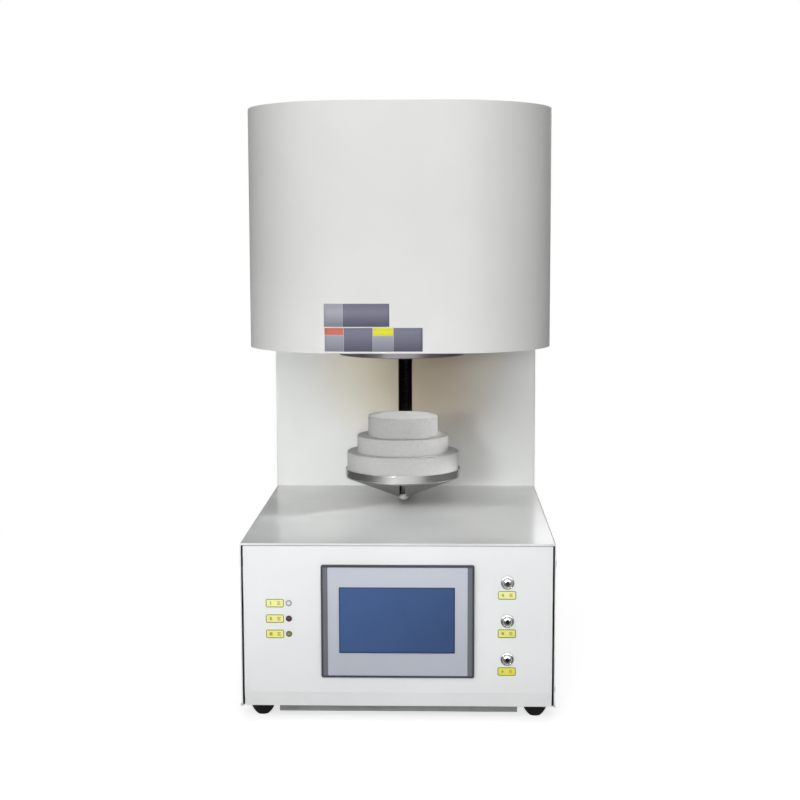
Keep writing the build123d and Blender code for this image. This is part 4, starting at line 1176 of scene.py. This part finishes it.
def flat_print(shape, points, back_y, front_y, ink):
    """Thin upright prism with an outline of (x, z) points, in one of the inks."""
    front = [shape.verts.new((x, front_y, z)) for x, z in points]
    back = [shape.verts.new((x, back_y, z)) for x, z in points]
    faces = [shape.faces.new(front), shape.faces.new(list(reversed(back)))]
    for index in range(len(points)):
        after = (index + 1) % len(points)
        faces.append(shape.faces.new((front[index], back[index], back[after], front[after])))
    for face in faces:
        face.material_index = ink


# Cells of the two printed plates on the hood: left, right, bottom and top in millimetres from the
# middle of the hood and from its lower edge, with the finish
SLATE, PALE, RED, YELLOW, LINE = range(5)
UPPER_CELLS = ((-95.8, -71.6, 35.0, 65.2, PALE), (-71.0, -10.0, 35.0, 65.2, SLATE))
LOWER_CELLS = (
    (-95.0, -70.2, 2.6, 23.8, PALE),
    (-95.0, -70.2, 24.4, 33.6, RED),
    (-69.6, -32.0, 2.6, 33.6, SLATE),
    (-31.4, -5.0, 2.6, 23.0, PALE),
    (-31.4, -5.0, 23.6, 33.6, YELLOW),
    (-4.4, 33.6, 2.6, 33.6, SLATE),
)


class FURNACE_OT_hood_plates(bpy.types.Operator):
    """Printed colour-block plates that follow the hood's curve"""

    bl_idname = "furnace.hood_plates"
    bl_label = "Hood plates"

    def execute(self, context):
        chosen = furnace_settings()
        finishes = [
            printed_plate("plate_slate", chosen.plate_colour, 0.6),
            printed_plate("plate_pale", chosen.pale_colour, 0.6),
            printed_plate("plate_red", chosen.red_colour, 0.6),
            printed_plate("plate_yellow", chosen.yellow_colour, 0.6),
            printed_plate("plate_line", linear(208, 209, 212)),
        ]
        for level, cells in (("upper", UPPER_CELLS), ("lower", LOWER_CELLS)):

            def build(shape):
                curved_plate(shape, cells)

            shown_mesh(f"hood_plate_{level}", build, finishes, "frame")
        return {"FINISHED"}


def hood_point(x, z, out):
    """Point on the hood's front at a distance out from its paint."""
    corner = furnace_settings().hood_radius
    flat = HOOD_HIGH.x - corner
    if abs(x) <= flat:
        return (x, HOOD_LOW.y - out, z)
    angle = math.asin((abs(x) - flat) / corner)
    across = flat + (corner + out) * math.sin(angle)
    return (math.copysign(across, x), HOOD_LOW.y + corner - (corner + out) * math.cos(angle), z)


def curved_plate(shape, cells):
    """Film on the hood, cut into printed cells with fine lines between them."""
    sides = [edge for cell in cells for edge in cell[:2]]
    left, right, steps = min(sides), max(sides), 30
    spread = [left + (right - left) * step / steps for step in range(steps + 1)]
    xs = sorted({round(x, 3) for x in spread + sides})
    zs = sorted({edge for cell in cells for edge in cell[2:4]})
    out = furnace_settings().film
    base = HOOD_LOW.z
    layers = {}
    for depth, key in ((out, "front"), (0.0, "back")):
        for x in xs:
            for z in zs:
                point = hood_point(x * MILLIMETRE, base + z * MILLIMETRE, depth)
                layers[key, x, z] = shape.verts.new(point)
    for x0, x1 in zip(xs, xs[1:]):
        for z0, z1 in zip(zs, zs[1:]):
            corners = ((x0, z0), (x1, z0), (x1, z1), (x0, z1))
            face = shape.faces.new([layers["front", x, z] for x, z in corners])
            face.material_index = cell_finish((x0 + x1) / 2, (z0 + z1) / 2, cells)
            face.smooth = True
            shape.faces.new([layers["back", x, z] for x, z in reversed(corners)]).material_index = LINE
    rim = [(x, zs[0]) for x in xs] + [(xs[-1], z) for z in zs[1:]]
    rim += [(x, zs[-1]) for x in reversed(xs[:-1])] + [(xs[0], z) for z in reversed(zs[1:-1])]
    for first, second in zip(rim, rim[1:] + rim[:1]):
        corners = (("front", *first), ("back", *first), ("back", *second), ("front", *second))
        shape.faces.new([layers[corner] for corner in corners]).material_index = LINE


def cell_finish(x, z, cells):
    """Finish at a place on a printed plate."""
    for left, right, bottom, top, finish in cells:
        if left <= x <= right and bottom <= z <= top:
            return finish
    return LINE


class FURNACE_OT_lift(bpy.types.Operator):
    """Lift drive, power parts and furnace parts inside the case"""

    bl_idname = "furnace.lift"
    bl_label = "Inner parts"

    def execute(self, context):
        finishes = {
            "bronze": ground_bar("bronze", (0.56, 0.38, 0.18), 0.30),
            "ground_steel": ground_bar("ground_steel", (0.55, 0.55, 0.55), 0.18),
            "motor_black": motor_finish("motor_black", (0.02, 0.02, 0.02), (0.52, 0.52, 0.53)),
            "lamination": laminated_iron("lamination", (0.16, 0.15, 0.15)),
            "copper_winding": copper_winding("copper_winding", (0.62, 0.27, 0.12)),
            "alu_sink": heat_sink("alu_sink", (0.60, 0.61, 0.62), (0.02, 0.02, 0.02)),
            "element_grey": cast_ceramic("element_grey", (0.13, 0.125, 0.12), 0.4),
            "ceramic": cast_ceramic("ceramic", (0.72, 0.68, 0.58), 0.0),
        }
        dress(finishes)
        # Black-oxide steel, kept this dark partly as painted shade, so that the slot in front of the screw
        # reads black
        oxide = ground_bar("black_oxide", (0.14, 0.13, 0.12), 0.4)
        screw = shown_mesh("threaded_screw", threaded_screw, [oxide], "drive_screw")
        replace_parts(screw, "lead_screw")
        return {"FINISHED"}


def threaded_screw(shape):
    """Two-start trapezoidal thread between two turned journals."""
    bottom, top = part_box("lead_screw")
    centre = (bottom + top) / 2
    crest = (top.x - bottom.x) / 2
    journal, depth, pitch, step = 0.006, 0.0018, 0.005, 0.0005
    thread_low, thread_high = 0.2204, 0.5146
    starts, segments = 2, 36
    count = round((thread_high - thread_low) / step)
    turned = [thread_low + (thread_high - thread_low) * index / count for index in range(count + 1)]
    levels = [(bottom.z, False), (thread_low, False)]
    levels += [(z, True) for z in turned]
    levels += [(thread_high, False), (top.z, False)]
    rings = [[shape.verts.new((centre.x, centre.y, bottom.z))]]
    for z, threaded in levels:
        ring = []
        for side in range(segments):
            angle = 2 * math.pi * side / segments
            reach = journal
            if threaded:
                turn = (z / pitch - starts * side / segments) % 1.0
                slope = min(max(abs(turn - 0.5) * 6 - 1, 0.0), 1.0)
                reach = crest - depth * slope
            place = (centre.x + reach * math.cos(angle), centre.y + reach * math.sin(angle), z)
            ring.append(shape.verts.new(place))
        rings.append(ring)
    rings.append([shape.verts.new((centre.x, centre.y, top.z))])
    skin(shape, rings)


class FURNACE_PT_panel(bpy.types.Panel):
    """Steps that dress the furnace"""

    bl_idname = "FURNACE_PT_panel"
    bl_label = "Furnace"
    bl_space_type = "VIEW_3D"
    bl_region_type = "UI"
    bl_category = "Furnace"

    def draw(self, context):
        for step in STEPS:
            self.layout.operator(step.bl_idname)


STEPS = (
    FURNACE_OT_stage,
    FURNACE_OT_case,
    FURNACE_OT_hearth_metal,
    FURNACE_OT_hearth_discs,
    FURNACE_OT_touch_panel,
    FURNACE_OT_lamps,
    FURNACE_OT_tags,
    FURNACE_OT_hood_plates,
    FURNACE_OT_lift,
)
CLASSES = (FurnaceSettings, *STEPS, FURNACE_PT_panel)


def register():
    """Makes the settings, steps and panel known to Blender."""
    for item in CLASSES:
        bpy.utils.register_class(item)
    bpy.types.Scene.furnace = PointerProperty(type=FurnaceSettings)


def unregister():
    """Takes the settings, steps and panel out again."""
    del bpy.types.Scene.furnace
    for item in reversed(CLASSES):
        bpy.utils.unregister_class(item)


def main():
    """Runs every step in order."""
    register()
    for step in STEPS:
        group, name = step.bl_idname.split(".")
        getattr(getattr(bpy.ops, group), name)()


if __name__ == "__main__":
    main()
